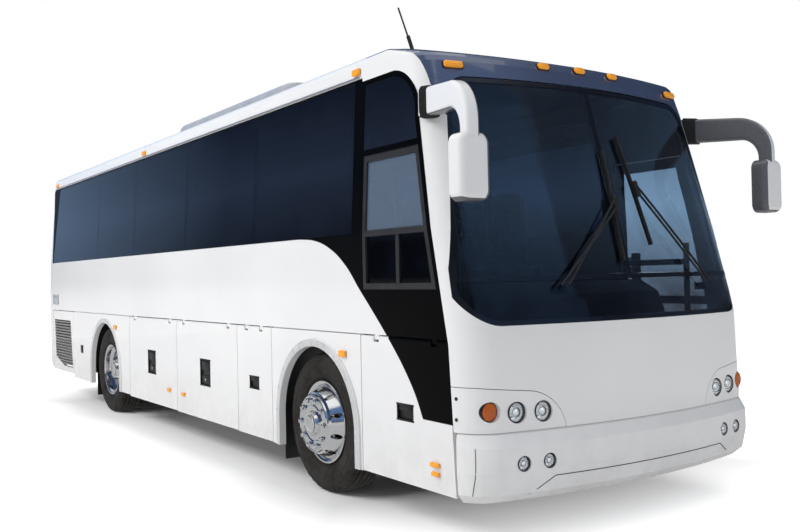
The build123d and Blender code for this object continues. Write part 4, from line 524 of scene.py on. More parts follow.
def hit(node_name, origin, direction):
    """Where a ray first meets a solid, with the outward normal there."""
    if node_name not in TREES:
        mesh = nodes[node_name].data
        faces = [p.vertices for p in mesh.polygons]
        TREES[node_name] = BVHTree.FromPolygons([v.co for v in mesh.vertices], faces)
    spot, normal = TREES[node_name].ray_cast(Vector(origin), Vector(direction).normalized())[:2]
    if spot is not None and normal.dot(Vector(direction)) > 0:
        normal = -normal
    return spot, normal


def on_front(node_name, x, z):
    return hit(node_name, (x, FRONT_RAY_Y, z), (0, 1, 0))


def on_side(node_name, side, y, z):
    return hit(node_name, (side * SIDE_RAY_X, y, z), (-side, 0, 0))


def trace(node_name, origins, direction, lift=0.0):
    """Points where a row of rays meets a solid, lifted off it; rays that miss are left out."""
    met = [hit(node_name, origin, direction) for origin in origins]
    return [spot + lift * normal for spot, normal in met if spot is not None]


def facing(spot, normal, up=(0.0, 0.0, 1.0)):
    """A placing whose Z is the surface normal and whose Y points up."""
    z = Vector(normal).normalized()
    x = Vector(up).cross(z).normalized()
    y = z.cross(x)
    made = Matrix((x, y, z)).transposed().to_4x4()
    made.translation = spot
    return made


def on_panel(side, y, z):
    """A placing on the flat of a side."""
    return facing(Vector((side * HALF, y, z)), (side, 0, 0))


def on_axle(side, x, axle_y):
    """A placing on an axle whose Z points outboard."""
    return shift(side * x, axle_y, TYRE_R) @ Matrix.Rotation(math.radians(90.0 * side), 4, "Y")


# Tyres: moulded walls, four grooves and notched shoulders
TWINS = (TRACK_X, TRACK_X - TWIN_PITCH)
WHEELS = (
    ("front_right", -1, FRONT_AXLE_Y, TWINS[:1]), ("front_left", 1, FRONT_AXLE_Y, TWINS[:1]),
    ("rear_right", -1, REAR_AXLE_Y, TWINS), ("rear_left", 1, REAR_AXLE_Y, TWINS),
)
WALL_ROWS = (
    (0.2885, 0.097), (0.301, 0.098), (0.312, 0.107), (0.322, 0.1155), (0.3245, 0.1195), (0.3285, 0.1205),
    (0.331, 0.1195), (0.35, 0.129), (0.37, 0.1355), (0.39, 0.139), (0.406, 0.1398), (0.409, 0.1412),
    (0.413, 0.1412), (0.416, 0.1395), (0.432, 0.1382), (0.447, 0.1352), (0.4495, 0.1366), (0.4545, 0.1356),
    (0.457, 0.1333), (0.47, 0.129), (0.48, 0.1248), (0.489, 0.1195), (0.4955, 0.112), (0.4995, 0.104),
)
TREAD_EDGE, TREAD_END = 0.104, 0.088
CROWN_R, CROWN_RISE = 0.4995, 0.0065
GROOVES = (0.067, 0.0225, -0.0225, -0.067)
GROOVE_HALF, GROOVE_FLOOR, GROOVE_DEPTH = 0.0052, 0.55, 0.013
RIB_HALF = 0.0222
TREAD_STEPS = 168
SHOULDER_R, SHOULDER_H = 0.478, 0.08
NOTCH_PITCH, NOTCH_DEPTH = 4, 0.007


def crown(h):
    """Radius of the tread at a distance from its middle."""
    return CROWN_R + CROWN_RISE * (1.0 - (h / TREAD_EDGE) ** 2)


def tread_rows():
    """Crown line across the tread from the outer to the inner edge, dipping into each groove."""
    rows = [(crown(TREAD_END), TREAD_END)]
    for groove in GROOVES:
        for part in (1.0, GROOVE_FLOOR, -GROOVE_FLOOR, -1.0):
            deep = GROOVE_DEPTH if abs(part) < 1.0 else 0.0
            rows.append((crown(groove) - deep, groove + part * GROOVE_HALF))
        rows.append((crown(groove - RIB_HALF), groove - RIB_HALF))
    rows[-1] = (crown(-TREAD_END), -TREAD_END)
    return rows


TYRE_ROWS = [*WALL_ROWS, *tread_rows(), *((r, -h) for r, h in reversed(WALL_ROWS))]
SHOULDER = {i for i, (r, h) in enumerate(TYRE_ROWS) if r > SHOULDER_R and abs(h) > SHOULDER_H}


def notch(row, step):
    """How deep the tyre is notched at a row and step."""
    return NOTCH_DEPTH if row in SHOULDER and step % NOTCH_PITCH == 0 else 0.0


for wheel, side, axle_y, centres in WHEELS:
    build = Build()
    for centre in centres:
        build.revolve([*TYRE_ROWS, TYRE_ROWS[0]], on_axle(side, centre, axle_y), TREAD_STEPS, 0, notch)
    tyre = build.piece(f"road_tyre_{wheel}", f"wheel_{wheel}", TYRE, sharp=26.0)
    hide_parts(f"tyre_{wheel}")

# Wheel fixings: ten nuts on each hub, turned rings in front and a bolted cap behind
STUDS, STUD_CIRCLE_R = 10, 0.1675
FRONT_FACE_X, REAR_FACE_X, REAR_CAP_X = 1.297, 0.9455, 1.184
NUT_ROWS = (
    (0.0, 0.0), (0.0225, 0.0), (0.0225, 0.004), (0.0185, 0.006), (0.0185, 0.018), (0.0165, 0.0235),
    (0.01, 0.0265), (0.0, 0.027),
)
HUB_RINGS = (
    (40, ((0.0, 0.0305), (0.04, 0.0305), (0.055, 0.034), (0.066, 0.0305), (0.07, 0.0305), (0.07, 0.029))),
    (56, ((0.121, 0.0), (0.129, 0.006), (0.137, 0.0))),
    (64, ((0.192, 0.0), (0.197, 0.003), (0.202, 0.0))),
)
CAP_ROWS = ((0.0, 0.004), (0.05, 0.004), (0.06, 0.0025), (0.075, 0.0025), (0.08, 0.0))
CAP_BOLTS, CAP_CIRCLE_R, CAP_BOLT_Z = 8, 0.088, -0.006
CAP_BOLT = button(0.009, 0.01, 0.007, 0.0125)
for wheel, side, axle_y, centres in WHEELS:
    front = wheel.startswith("front")
    hub = on_axle(side, FRONT_FACE_X if front else REAR_FACE_X, axle_y)
    build = Build()
    for turn, spot in round_axis(STUDS, STUD_CIRCLE_R, first=0.5):
        build.revolve(NUT_ROWS, hub @ spot @ Matrix.Rotation(turn, 4, "Z"), 12 if front else 6)
    if front:
        for steps, rows in HUB_RINGS:
            build.revolve(rows, hub, steps)
    else:
        cap = on_axle(side, REAR_CAP_X, axle_y)
        build.revolve(CAP_ROWS, cap, 40)
        for _, spot in round_axis(CAP_BOLTS, CAP_CIRCLE_R, CAP_BOLT_Z):
            build.revolve(CAP_BOLT, cap @ spot, 6)
    nuts = build.piece(f"wheel_nuts_{wheel}", f"wheel_{wheel}", CHROME, sharp=28.0)

# Round lamps: the solids give each lamp's place, and the scene its bowl, bulb and moulded lens.
# Each row is a share of the lamp's radius and a height from its face
LAMP_REACH = 0.075
LAMP_SINK = 0.75
BEZEL = ((1.0, -0.012), (0.99, -0.008), (0.93, -0.007), (0.88, -0.012), (0.86, -0.02))
BOWL = (
    (0.86, -0.02), (0.82, -0.03), (0.66, -0.046), (0.5, -0.054), (0.47, -0.048), (0.46, -0.03),
    (0.43, -0.024),
)
BULB = ((0.43, -0.024), (0.38, -0.0165), (0.28, -0.0105), (0.15, -0.0075), (0.0, -0.0065))
CLEAR_LENS = (
    (0.9, -0.0125), (0.88, -0.0085), (0.7, -0.004), (0.4, -0.0012), (0.0, -0.0003), (0.0, -0.0025),
    (0.4, -0.0034), (0.7, -0.0062), (0.87, -0.0125), (0.9, -0.0125),
)
COLOUR_BEZEL = ((1.0, -0.01), (0.985, -0.006), (0.93, -0.005), (0.9, -0.009))
LENS_RINGS, LENS_REACH = 7, 0.86
LAMP_FINISHES = (BLACK, CHROME, LAMP_GLASS, AMBER, RED)
LENS_SLOTS = {"amber": 3, "red": 4}


def lump(node_name, x, z):
    """Box of the solid of a node near a point in front or rear view."""
    spots = [v.co for v in nodes[node_name].data.vertices]
    near = [p for p in spots if abs(p.x - x) < LAMP_REACH and abs(p.z - z) < LAMP_REACH]
    low = Vector(min(p[i] for p in near) for i in range(3))
    high = Vector(max(p[i] for p in near) for i in range(3))
    return low, high


def round_lamp(build, node_name, x, z, toward, kind):
    """One lamp in its hole: bezel, bowl and domed lens, looking along toward on Y."""
    low, high = lump(node_name, x, z)
    radius = (high.x - low.x) / 2.0
    face, back = (low.y, high.y) if toward < 0 else (high.y, low.y)
    place = facing(Vector(((low.x + high.x) / 2.0, face, (low.z + high.z) / 2.0)), (0.0, toward, 0.0))
    foot = (1.0, -LAMP_SINK * abs(back - face))
    if kind == "clear":
        forms = (((foot, *BEZEL), 48, 0), (BOWL, 48, 1), (BULB, 32, 1), (CLEAR_LENS, 48, 2))
    else:
        rows = [(0.9, -0.012), (0.89, -0.004)]
        for ring in range(LENS_RINGS, 0, -1):
            at = LENS_REACH * ring / LENS_RINGS
            lift = -0.0035 + 0.003 * (1.0 - at ** 2)
            rows += [(at, lift), (at - 0.03, lift - 0.0011), (at - 0.06, lift)]
        rows += [(0.0, -0.0005), (0.0, -0.012), (0.9, -0.012)]
        forms = (((foot, *COLOUR_BEZEL), 48, 0), (rows, 48, LENS_SLOTS[kind]))
    for rows, steps, slot in forms:
        build.revolve([(part * radius, height) for part, height in rows], place, steps, slot)


HEADLAMPS = ((0.977, 0.76), (0.802, 0.755), (0.975, 0.474), (0.804, 0.476))
TURN_LAMP = (1.14, 0.772)
TAIL_X = 1.02
TAIL_LAMPS = ((1.42, "red"), (1.27, "amber"), (1.12, "red"))
for side, word in SIDES:
    build = Build()
    for x, z in HEADLAMPS:
        round_lamp(build, "headlamps", side * x, z, -1, "clear")
    lamps = build.piece(f"front_lamps_{word}", "body", *LAMP_FINISHES)
    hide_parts("headlamps")
    build = Build()
    round_lamp(build, "amber_lamps", side * TURN_LAMP[0], TURN_LAMP[1], -1, "amber")
    turn = build.piece(f"turn_lamp_{word}", "body", *LAMP_FINISHES)
    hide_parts("amber_lamps")
    build = Build()
    for z, kind in TAIL_LAMPS:
        round_lamp(build, "tail_lamps", side * TAIL_X, z, 1, kind)
    tail = build.piece(f"rear_lamps_{word}", "body", *LAMP_FINISHES)
    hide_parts("tail_lamps")


# Marker lamps: amber blocks on a thin black pad, laid on the panel that carries them
def marker(build, node_name, side, y, z, size):
    wide, high = size
    place = facing(*on_side(node_name, side, y, z))
    build.block((wide - 0.006, high - 0.006, 0.008), place @ shift(0, 0, -0.001), 0.002, 0)
    build.block((wide, high, 0.022), place @ shift(0, 0, 0.011), min(0.009, 0.4 * high), 1, 3)


# Side markers: solid, body, station, height, size
SIDE_MARKERS = (
    ("luggage_door_{}_rear", "luggage_door_{}_rear", -0.039, 0.468, (0.075, 0.036)),
    ("luggage_door_{}_front", "luggage_door_{}_front", -0.426, 0.462, (0.075, 0.036)),
    ("skirts", "body", 1.725, 1.034, (0.085, 0.045)),
    ("skirts", "body", -3.464, 1.033, (0.085, 0.045)),
    ("roof", "body", -3.62, 2.945, (0.09, 0.045)),
    ("roof", "body", 0.78, 2.945, (0.09, 0.045)),
    ("roof", "body", 4.53, 2.945, (0.09, 0.045)),
)
CORNER_MARKERS = ((-4.512, 0.439, (0.085, 0.028)), (-4.517, 0.385, (0.07, 0.028)))
for side, word in SIDES:
    for index, (node_name, body, y, z, size) in enumerate(SIDE_MARKERS):
        build = Build()
        marker(build, node_name.format(word), side, y, z, size)
        lit = build.piece(f"side_marker_{word}_{index}", body.format(word), BLACK, MARKER_AMBER)
for (side, word), door in zip(SIDES, ("service_door", "entry_door")):
    build = Build()
    for y, z, size in CORNER_MARKERS:
        marker(build, door, side, y, z, size)
    build.piece(f"corner_markers_{word}", door, BLACK, MARKER_AMBER)

# Clearance lamps along the front of the roof cap: place and length
CLEARANCE_LAMPS = (
    (-1.011, 2.858, 0.13), (-0.322, 2.906, 0.085), (0.0, 2.91, 0.085), (0.322, 2.906, 0.085),
    (1.011, 2.858, 0.13),
)
build = Build()
for x, z, long in CLEARANCE_LAMPS:
    place = facing(*on_front("roof_cap", x, z))
    build.block((long + 0.012, 0.05, 0.012), place @ shift(0, 0, 0.001), 0.0055, 0, 3)
    build.block((long, 0.044, 0.034), place @ shift(0, 0, 0.012), 0.014, 1, 4)
build.piece("clearance_lamps", "body", BLACK, MARKER_AMBER)

# Door handles: black pans with a lift paddle in each recess, and a lock in the larger ones
SMALL_PAN, LARGE_PAN = (0.18, 0.11), (0.24, 0.25)
DOOR_HANDLES = (
    ("fuel_door", -1, -2.35, -1.694, SMALL_PAN),
    ("luggage_door_right_front", -1, -1.694, -0.253, LARGE_PAN),
    ("luggage_door_right_rear", -1, -0.253, 1.22, LARGE_PAN),
    ("battery_door", 1, -2.35, -1.694, SMALL_PAN),
    ("luggage_door_left_front", 1, -1.694, -0.253, LARGE_PAN),
    ("luggage_door_left_rear", 1, -0.253, 1.22, LARGE_PAN),
    ("service_door", -1, -4.705, -3.692, SMALL_PAN),
)
RECESS, LIP = 0.014, 0.012
LOCK = button(0.013, 0.0035, 0.009, 0.005)
for door, side, y0, y1, pan in DOOR_HANDLES:
    wide, high = pan
    place = on_panel(side, (y0 + y1) / 2.0, HANDLE_Z)
    build = Build()
    build.block((wide - 0.004, high - 0.004, 0.0022), place @ shift(0, 0, 0.0015 - RECESS), 0.0008)
    bars = [(0, end * (high - LIP) / 2, wide + LIP, LIP) for end in (1, -1)]
    bars += [(end * (wide - LIP) / 2, 0, LIP, high - 2 * LIP) for end in (1, -1)]
    for dx, dy, w, h in bars:
        build.block((w, h, RECESS + 0.002), place @ shift(dx, dy, 0.001 - RECESS / 2), 0.0018)
    build.block((0.76 * wide, 0.34 * high, 0.013), place @ shift(0, high / 4, 0.0065 - RECESS), 0.003)
    if pan == LARGE_PAN:
        build.block((0.76 * wide, 0.3 * high, 0.01), place @ shift(0, -high / 4, 0.005 - RECESS), 0.003)
        build.revolve(LOCK, place @ shift(0, -high / 4, 0.0098 - RECESS), 24, 1)
    build.piece(f"handle_{door}", door, BLACK, CHROME)

# Wipers: pivot, blade head and blade foot of each in front view
WIPERS = (
    ((-0.6, 1.454), (-0.006, 2.35), (-0.046, 1.62)),
    ((0.764, 1.446), (0.172, 2.455), (0.257, 1.724)),
)
BLADE_STEPS, ARM_STEPS = 14, 9
LIP_HALF, LIP_FOOT, LIP_TOP = 0.003, 0.001, 0.018
SPINE_OFF, SPINE_R = 0.026, 0.0085
ARM_OFF, ARM_R, ARM_SPREAD, ARM_START = 0.05, 0.0075, 0.026, 0.018
CLAW_ROWS, CLAW_OFF, CLAW_SIZE = (1, 5, 9, 13), 0.019, (0.018, 0.034, 0.014)
YOKE_OFF, YOKE_SIZE = 0.041, (0.036, 0.11, 0.034)
BOSS = button(0.016, 0.006, 0.012, 0.01)


def screen_line(start, end, steps):
    """Spots and normals on the screen's outer face between two places in front view."""
    line = []
    for step in range(steps + 1):
        x, z = (between(pair, step / steps) for pair in zip(start, end))
        met = [on_front(name, x, z) for name in ("windscreen", "windscreen_frame")]
        line.append(min((m for m in met if m[0] is not None), key=lambda m: m[0].y))
    return line


for (_, word), (pivot, head, foot) in zip(SIDES, WIPERS):
    build = Build()
    rows = screen_line(foot, head, BLADE_STEPS)
    along = (rows[-1][0] - rows[0][0]).normalized()
    sections = []
    for spot, normal in rows:
        across = along.cross(normal).normalized() * LIP_HALF
        foot_line, top_line = spot + LIP_FOOT * normal, spot + LIP_TOP * normal
        sections.append([foot_line - across, foot_line + across, top_line + across, top_line - across])
    build.strip(sections)
    build.tube([spot + SPINE_OFF * normal for spot, normal in rows], SPINE_R, 10)
    for row in CLAW_ROWS:
        spot, normal = rows[row]
        build.block(CLAW_SIZE, facing(spot + CLAW_OFF * normal, normal, along), 0.003)
    spot, normal = rows[BLADE_STEPS // 2]
    build.block(YOKE_SIZE, facing(spot + YOKE_OFF * normal, normal, along), 0.006)
    middle = tuple((a + b) / 2.0 for a, b in zip(head, foot))
    for step in (-1, 1):
        start = (pivot[0] + step * ARM_SPREAD, pivot[1] + ARM_START)
        end = (middle[0], middle[1] + step * ARM_SPREAD)
        arm = screen_line(start, end, ARM_STEPS)
        build.tube([spot + ARM_OFF * normal for spot, normal in arm], ARM_R, 10)
        spot, normal = on_front("wipers", start[0], pivot[1])
        build.revolve(BOSS, facing(spot - 0.001 * normal, normal), 24)
    build.piece(f"wiper_{word}", "body", RUBBER)

# Drip rails and arch trims: axle, radius and foot of each arch, then reach and rise of the trim
RAIL_Y, RAIL_Z, RAIL_STEPS = (-3.66, 4.66), 2.907, 12
RAIL_LIFT, RAIL_R = 0.002, 0.0085
ARCHES = ((FRONT_AXLE_Y, 0.557, 0.272), (REAR_AXLE_Y, 0.565, 0.302))
ARCH_STEPS, ARCH_PROUD = 40, 0.0145
ARCH_SECTION = (
    (0.003, -0.012), (0.003, 0.0), (0.01, 0.003), (0.03, 0.0042), (0.046, 0.003), (0.053, 0.0),
    (0.053, -0.004),
)
for side, word in SIDES:
    build = Build()
    stations = [between(RAIL_Y, step / RAIL_STEPS) for step in range(RAIL_STEPS + 1)]
    origins = [(side * SIDE_RAY_X, y, RAIL_Z) for y in stations]
    build.tube(trace("roof", origins, (-side, 0, 0), RAIL_LIFT), RAIL_R)
    build.piece(f"drip_rail_{word}", "body", ALUMINIUM)
    build = Build()
    outer = side * (HALF + ARCH_PROUD)
    for axle_y, radius, foot in ARCHES:
        feet = (foot, (foot + TYRE_R) / 2)
        frames = [((axle_y - radius, z), (-1.0, 0.0)) for z in feet]
        for step in range(ARCH_STEPS + 1):
            turn = math.pi - math.pi * step / ARCH_STEPS
            out = (math.cos(turn), math.sin(turn))
            frames.append(((axle_y + radius * out[0], TYRE_R + radius * out[1]), out))
        frames += [((axle_y + radius, z), (1.0, 0.0)) for z in reversed(feet)]
        build.strip([
            [(outer + side * proud, y + reach * oy, z + reach * oz) for reach, proud in ARCH_SECTION]
            for (y, z), (oy, oz) in frames
        ])
    build.piece(f"arch_trim_{word}", "body", SILVER, sharp=50.0)

# Mirror arms: black ribbed bellows where each arm leaves the roof corner
ARM_ROOT = (1.2, -4.36)
MIRROR_HEAD = (1.355, -4.995)
BELLOWS_LOW_Z = (2.52, 2.509)
BELLOWS_TOP_Z = (2.7, 2.684)
BELLOWS_SPAN = (0.045, 0.15)
BELLOWS_HALF = 0.044
BELLOWS_SWELL = (0.003, 0.01)
BELLOWS_RIBS = 6
BELLOWS_STEPS = 40
BELLOWS_SQUARE = 0.45


def squared(value):
    """Bends a sine or cosine so that a round section turns squarish."""
    return math.copysign(abs(value) ** BELLOWS_SQUARE, value)


for side, word in SIDES:
    root = Vector((side * ARM_ROOT[0], ARM_ROOT[1], 0.0))
    along = (Vector((side * MIRROR_HEAD[0], MIRROR_HEAD[1], 0.0)) - root).normalized()
    across = Vector((0.0, 0.0, 1.0)).cross(along)
    loops = []
    for rib in range(2 * BELLOWS_RIBS + 1):
        part = rib / (2.0 * BELLOWS_RIBS)
        low, top = between(BELLOWS_LOW_Z, part), between(BELLOWS_TOP_Z, part)
        swell = BELLOWS_SWELL[rib % 2]
        half_wide = BELLOWS_HALF + swell
        half_high = (top - low) / 2.0 + swell
        middle = root + between(BELLOWS_SPAN, part) * along + Vector((0.0, 0.0, (low + top) / 2.0))
        loop = []
        for step in range(BELLOWS_STEPS):
            turn = math.tau * step / BELLOWS_STEPS
            high = Vector((0.0, 0.0, squared(math.sin(turn)) * half_high))
            loop.append(middle + squared(math.cos(turn)) * half_wide * across + high)
        loops.append(loop)
    build = Build()
    build.strip(loops)
    build.piece(f"mirror_bellows_{word}", "body", RUBBER, sharp=60.0)

# Small fittings on the right side: louvred vent and square catch
VENT_Y = (4.35, 4.68)
VENT_Z = (1.26, 1.4)
VENT_SLATS, SLAT_LEAN = 6, math.radians(-28)
CATCH_AT = (3.185, 0.7)
build = Build()
vent_wide, vent_high = VENT_Y[1] - VENT_Y[0], VENT_Z[1] - VENT_Z[0]
vent = on_panel(-1, sum(VENT_Y) / 2, sum(VENT_Z) / 2)
build.block((vent_wide, vent_high, 0.006), vent @ shift(0, 0, 0.001), 0.002)
for slat in range(VENT_SLATS):
    lift = shift(0, (slat - 2.5) * vent_high / 6.6, 0.006) @ Matrix.Rotation(SLAT_LEAN, 4, "X")
    build.block((0.92 * vent_wide, 0.6 * vent_high / VENT_SLATS, 0.004), vent @ lift, 0.001, 1)
build.piece("side_vent", "body", UNIT_GREY, SILVER)
build = Build()
catch = on_panel(-1, *CATCH_AT)
build.block((0.105, 0.1, 0.008), catch @ shift(0, 0, 0.001), 0.003)
build.block((0.076, 0.044, 0.012), catch @ shift(0, 0.012, 0.004), 0.003)
build.piece("skirt_catch", "body", BLACK)

# Two round-headed screws on the side edge of each lamp panel
SCREW_Y, SCREW_Z = -4.708, (0.846, 0.726)
SCREW_ROWS = ((0.0, 0.0), (0.011, 0.0), (0.011, 0.003), (0.007, 0.0055), (0.0, 0.006))
build = Build()
for side, _ in SIDES:
    for z in SCREW_Z:
        spot, normal = on_side("lamp_panels", side, SCREW_Y, z)
        build.revolve(SCREW_ROWS, facing(spot - 0.001 * normal, normal), 20)
build.piece("panel_screws", "body", CHASSIS)

# Grooves in the front bumper: a long one across its foot and one up each end
FOOT_GROOVE = ((-0.92, 0.29), (-0.76, 0.385), (0.76, 0.385), (0.92, 0.29))
END_GROOVE_X, END_GROOVE_Z = 1.235, (0.3, 0.63)
GROOVE_STEP = 0.06


def laid_line(node_name, spots):
    """Points of a line in front view, laid on a solid."""
    origins = []
    for (x0, z0), (x1, z1) in zip(spots, spots[1:]):
        steps = max(2, round(math.hypot(x1 - x0, z1 - z0) / GROOVE_STEP))
        for step in range(steps):
            origins.append((x0 + (x1 - x0) * step / steps, FRONT_RAY_Y, z0 + (z1 - z0) * step / steps))
    return trace(node_name, origins, (0, 1, 0))


build = Build()
build.tube(laid_line("front_bumper", FOOT_GROOVE), 0.003, 6)
for side, _ in SIDES:
    build.tube(laid_line("front_bumper", [(side * END_GROOVE_X, z) for z in END_GROOVE_Z]), 0.0025, 6)
build.piece("bumper_grooves", "body", RUBBER)

# Rear corners: black upright strips beside the back window
STRIP_X, STRIP_LOW_Z, STRIP_LONG, STRIP_STEPS = 1.19, 2.1, 0.78, 14
REAR_RAY_Y = 7.0
for side, word in SIDES:
    heights = [STRIP_LOW_Z + STRIP_LONG * step / STRIP_STEPS for step in range(STRIP_STEPS + 1)]
    line = trace("rear_wall", [(side * STRIP_X, REAR_RAY_Y, z) for z in heights], (0, -1, 0))
    build = Build()
    build.tube(line, 0.02, 10, flat=0.5, side_axis=(0, 1, 0))
    build.piece(f"rear_strip_{word}", "body", BLACK)

# Roof unit: two fan grilles on top
FAN_RIM = ((0.0, 0.002), (0.27, 0.002), (0.27, 0.012), (0.285, 0.016), (0.3, 0.012), (0.305, 0.0))
FAN_PLACES = (0.3, 0.7)
FAN_RINGS, FAN_RING_STEP, FAN_SPOKES = 6, 0.042, 8
TOP_RAY_Z = 6.0
roof_low, roof_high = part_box("roof_unit")
fan_x = (roof_low[0] + roof_high[0]) / 2.0
for index, part in enumerate(FAN_PLACES):
    fan_y = between((roof_low[1], roof_high[1]), part)
    spot, normal = hit("roof_unit", (fan_x, fan_y, TOP_RAY_Z), (0, 0, -1))
    place = facing(spot, (0, 0, 1), (0, 1, 0))
    build = Build()
    build.revolve(FAN_RIM, place, 56)
    for ring in range(1, FAN_RINGS + 1):
        r = FAN_RING_STEP * ring
        build.revolve(((r, 0.004), (r + 0.004, 0.013), (r + 0.008, 0.004)), place, 48, 1)
    for spoke in range(FAN_SPOKES):
        turn = Matrix.Rotation(math.tau * spoke / FAN_SPOKES, 4, "Z")
        build.block((0.25, 0.006, 0.006), place @ turn @ shift(0.145, 0.0, 0.013), 0.001, 1)
    build.piece(f"roof_fan_{index}", "body", BLACK, LOUVRE)

# Seats: cushions and backs swelled by a cloth run, then stitched across
PAD_VOXEL = 0.011
PAD_FRAMES = 20
PAD_PRESSURE = 4.0
HELD_SHARE = 0.42
SEAM_FACING = 0.2


def evaluated(made):
    """The mesh that an object's modifiers leave."""
    graph = bpy.context.evaluated_depsgraph_get()
    return bpy.data.meshes.new_from_object(made.evaluated_get(graph))


def pad(name, size, round_by, cap, seams, keep):
    """A stuffed pad about the origin, its show face towards local +Z.

    Seams are (axis, place, width, depth); keep is the share of faces left at the end.
    """
    build = Build()
    build.block(size, Matrix(), round_by, 0, 4)
    form_mesh = bpy.data.meshes.new(name)
    build.mesh.to_mesh(form_mesh)
    build.mesh.free()
    form = placed(name, form_mesh)
    remesh = form.modifiers.new("remesh", "REMESH")
    remesh.mode = "VOXEL"
    remesh.voxel_size = PAD_VOXEL
    even = evaluated(form)
    form.modifiers.clear()
    form.data = even
    start = [v.co.copy() for v in even.vertices]
    held = form.vertex_groups.new(name="held")
    held.add([i for i, co in enumerate(start) if co.z < -HELD_SHARE * size[2]], 1.0, "REPLACE")
    cloth = form.modifiers.new("cloth", "CLOTH")
    cloth.settings.quality = 4
    cloth.settings.use_pressure = True
    cloth.settings.uniform_pressure_force = PAD_PRESSURE
    cloth.settings.effector_weights.gravity = 0.0
    cloth.settings.vertex_group_mass = "held"
    cloth.point_cache.frame_start = 1
    cloth.point_cache.frame_end = PAD_FRAMES
    for step in range(1, PAD_FRAMES + 1):
        stage_scene.frame_set(step)
    swelled = evaluated(form)
    ends = [v.co.copy() for v in swelled.vertices]
    bpy.data.meshes.remove(swelled)
    form.modifiers.clear()
    stage_scene.frame_set(1)
    for vertex, first, last in zip(even.vertices, start, ends):
        moved = last - first
        vertex.co = first + moved * min(1.0, cap / max(moved.length, 1e-9))
    for axis, spot, width, depth in seams:
        for vertex in even.vertices:
            if vertex.normal.z > SEAM_FACING:
                vertex.co.z -= depth * math.exp(-(((vertex.co[axis] - spot) / width) ** 2))
    thin = form.modifiers.new("thin", "DECIMATE")
    thin.ratio = keep
    even = evaluated(form)
    bpy.data.objects.remove(form)
    return even


CUSHION_SIZE = (0.395, 0.45, 0.095)
BACK_SIZE = (0.395, 0.68, 0.075)
HEAD_SIZE = (0.27, 0.17, 0.07)
CROSS_SEAM, LONG_SEAM = (0.012, 0.012), (0.012, 0.01)
cushion_seams = ((1, -0.09, *CROSS_SEAM), (1, 0.07, *CROSS_SEAM))
back_seams = (
    (1, 0.13, *CROSS_SEAM), (1, -0.06, *CROSS_SEAM), (0, 0.145, *LONG_SEAM), (0, -0.145, *LONG_SEAM),
)
cushion_pad = pad("cushion_form", CUSHION_SIZE, 0.03, 0.014, cushion_seams, 0.22)
back_pad = pad("back_form", BACK_SIZE, 0.026, 0.014, back_seams, 0.22)
head_pad = pad("head_form", HEAD_SIZE, 0.026, 0.01, (), 0.3)

SEAT_WIDTH = 0.425
SEAT_AISLE = 0.285
SEAT_STEP = SEAT_WIDTH + 0.02
ROW_PITCH = 0.77
FIRST_ROW_Y = FRONT_AXLE_Y + 0.26
ROWS = 9
DRIVER_AT = (-0.62, -3.88)
DRIVER_WIDER = 1.14
DRIVER_POST = ((0.0, 0.0), (0.17, 0.0), (0.15, 0.03), (0.08, 0.05), (0.07, 0.28), (0.0, 0.28))
BACK_LEAN = math.radians(7.6)
CUSHION_LEAN = math.radians(-3.0)
ARM_REST = ((0.05, 0.62), (-0.08, 0.625), (-0.28, 0.61))
LEG_SIZE, LEG_AT = (0.05, 0.36, 0.295), (0.0, -0.23, 0.148)
SHOE_SIZE, SHOE_AT = (0.09, 0.4, 0.016), (0.0, -0.23, 0.008)


def laid(build, mesh, place):
    """Adds a copy of a pad to a build."""
    first = len(build.mesh.verts)
    build.mesh.from_mesh(mesh)
    build.mesh.verts.ensure_lookup_table()
    for vertex in build.mesh.verts[first:]:
        vertex.co = place @ vertex.co


def seat(pads, shells, x, y, floor, wider=1.0):
    """Pads, pan and back shell of one seat, from its middle and rear foot; gives the foot's placing."""
    foot = shift(x, y, floor)
    cushion = foot @ shift(0.0, -0.25, 0.365) @ Matrix.Rotation(CUSHION_LEAN, 4, "X")
    lean = foot @ shift(0.0, 0.055, 0.4) @ Matrix.Rotation(-BACK_LEAN, 4, "X")
    upright = Matrix.Rotation(math.radians(90.0), 4, "X")
    back = lean @ shift(0.0, 0.0, 0.33) @ upright
    head = lean @ shift(0.0, -0.03, 0.6) @ upright
    for mesh, place in ((cushion_pad, cushion), (back_pad, back), (head_pad, head)):
        laid(pads, mesh, place @ Matrix.Diagonal((wider, 1.0, 1.0, 1.0)))
    shells.block((SEAT_WIDTH - 0.03, 0.43, 0.02), foot @ shift(0.0, -0.24, 0.305), 0.006)
    shells.block((SEAT_WIDTH - 0.012, 0.024, 0.66), lean @ shift(0.0, 0.046, 0.33), 0.01)
    return foot


for side, word in SIDES:
    pads = Build()
    shells = Build()
    for row in range(ROWS):
        y = FIRST_ROW_Y + row * ROW_PITCH
        for place in range(2):
            foot = seat(pads, shells, side * (SEAT_AISLE + SEAT_WIDTH / 2 + place * SEAT_STEP), y, DECK_Z)
            shells.block(LEG_SIZE, foot @ shift(*LEG_AT), 0.012, 1)
            shells.block(SHOE_SIZE, foot @ shift(*SHOE_AT), 0.004, 1)
        rest = [(side * (SEAT_AISLE + 0.005), y + dy, DECK_Z + dz) for dy, dz in ARM_REST]
        shells.tube(rest, 0.02, 8, flat=0.6)
    cloths = pads.piece(f"seat_pads_{word}", "body", SEAT_CLOTH, sharp=70.0)
    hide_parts("passenger_seats")
    holders = shells.piece(f"seat_shells_{word}", "body", SEAT_TRIM, CHASSIS)
    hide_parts("passenger_seats")

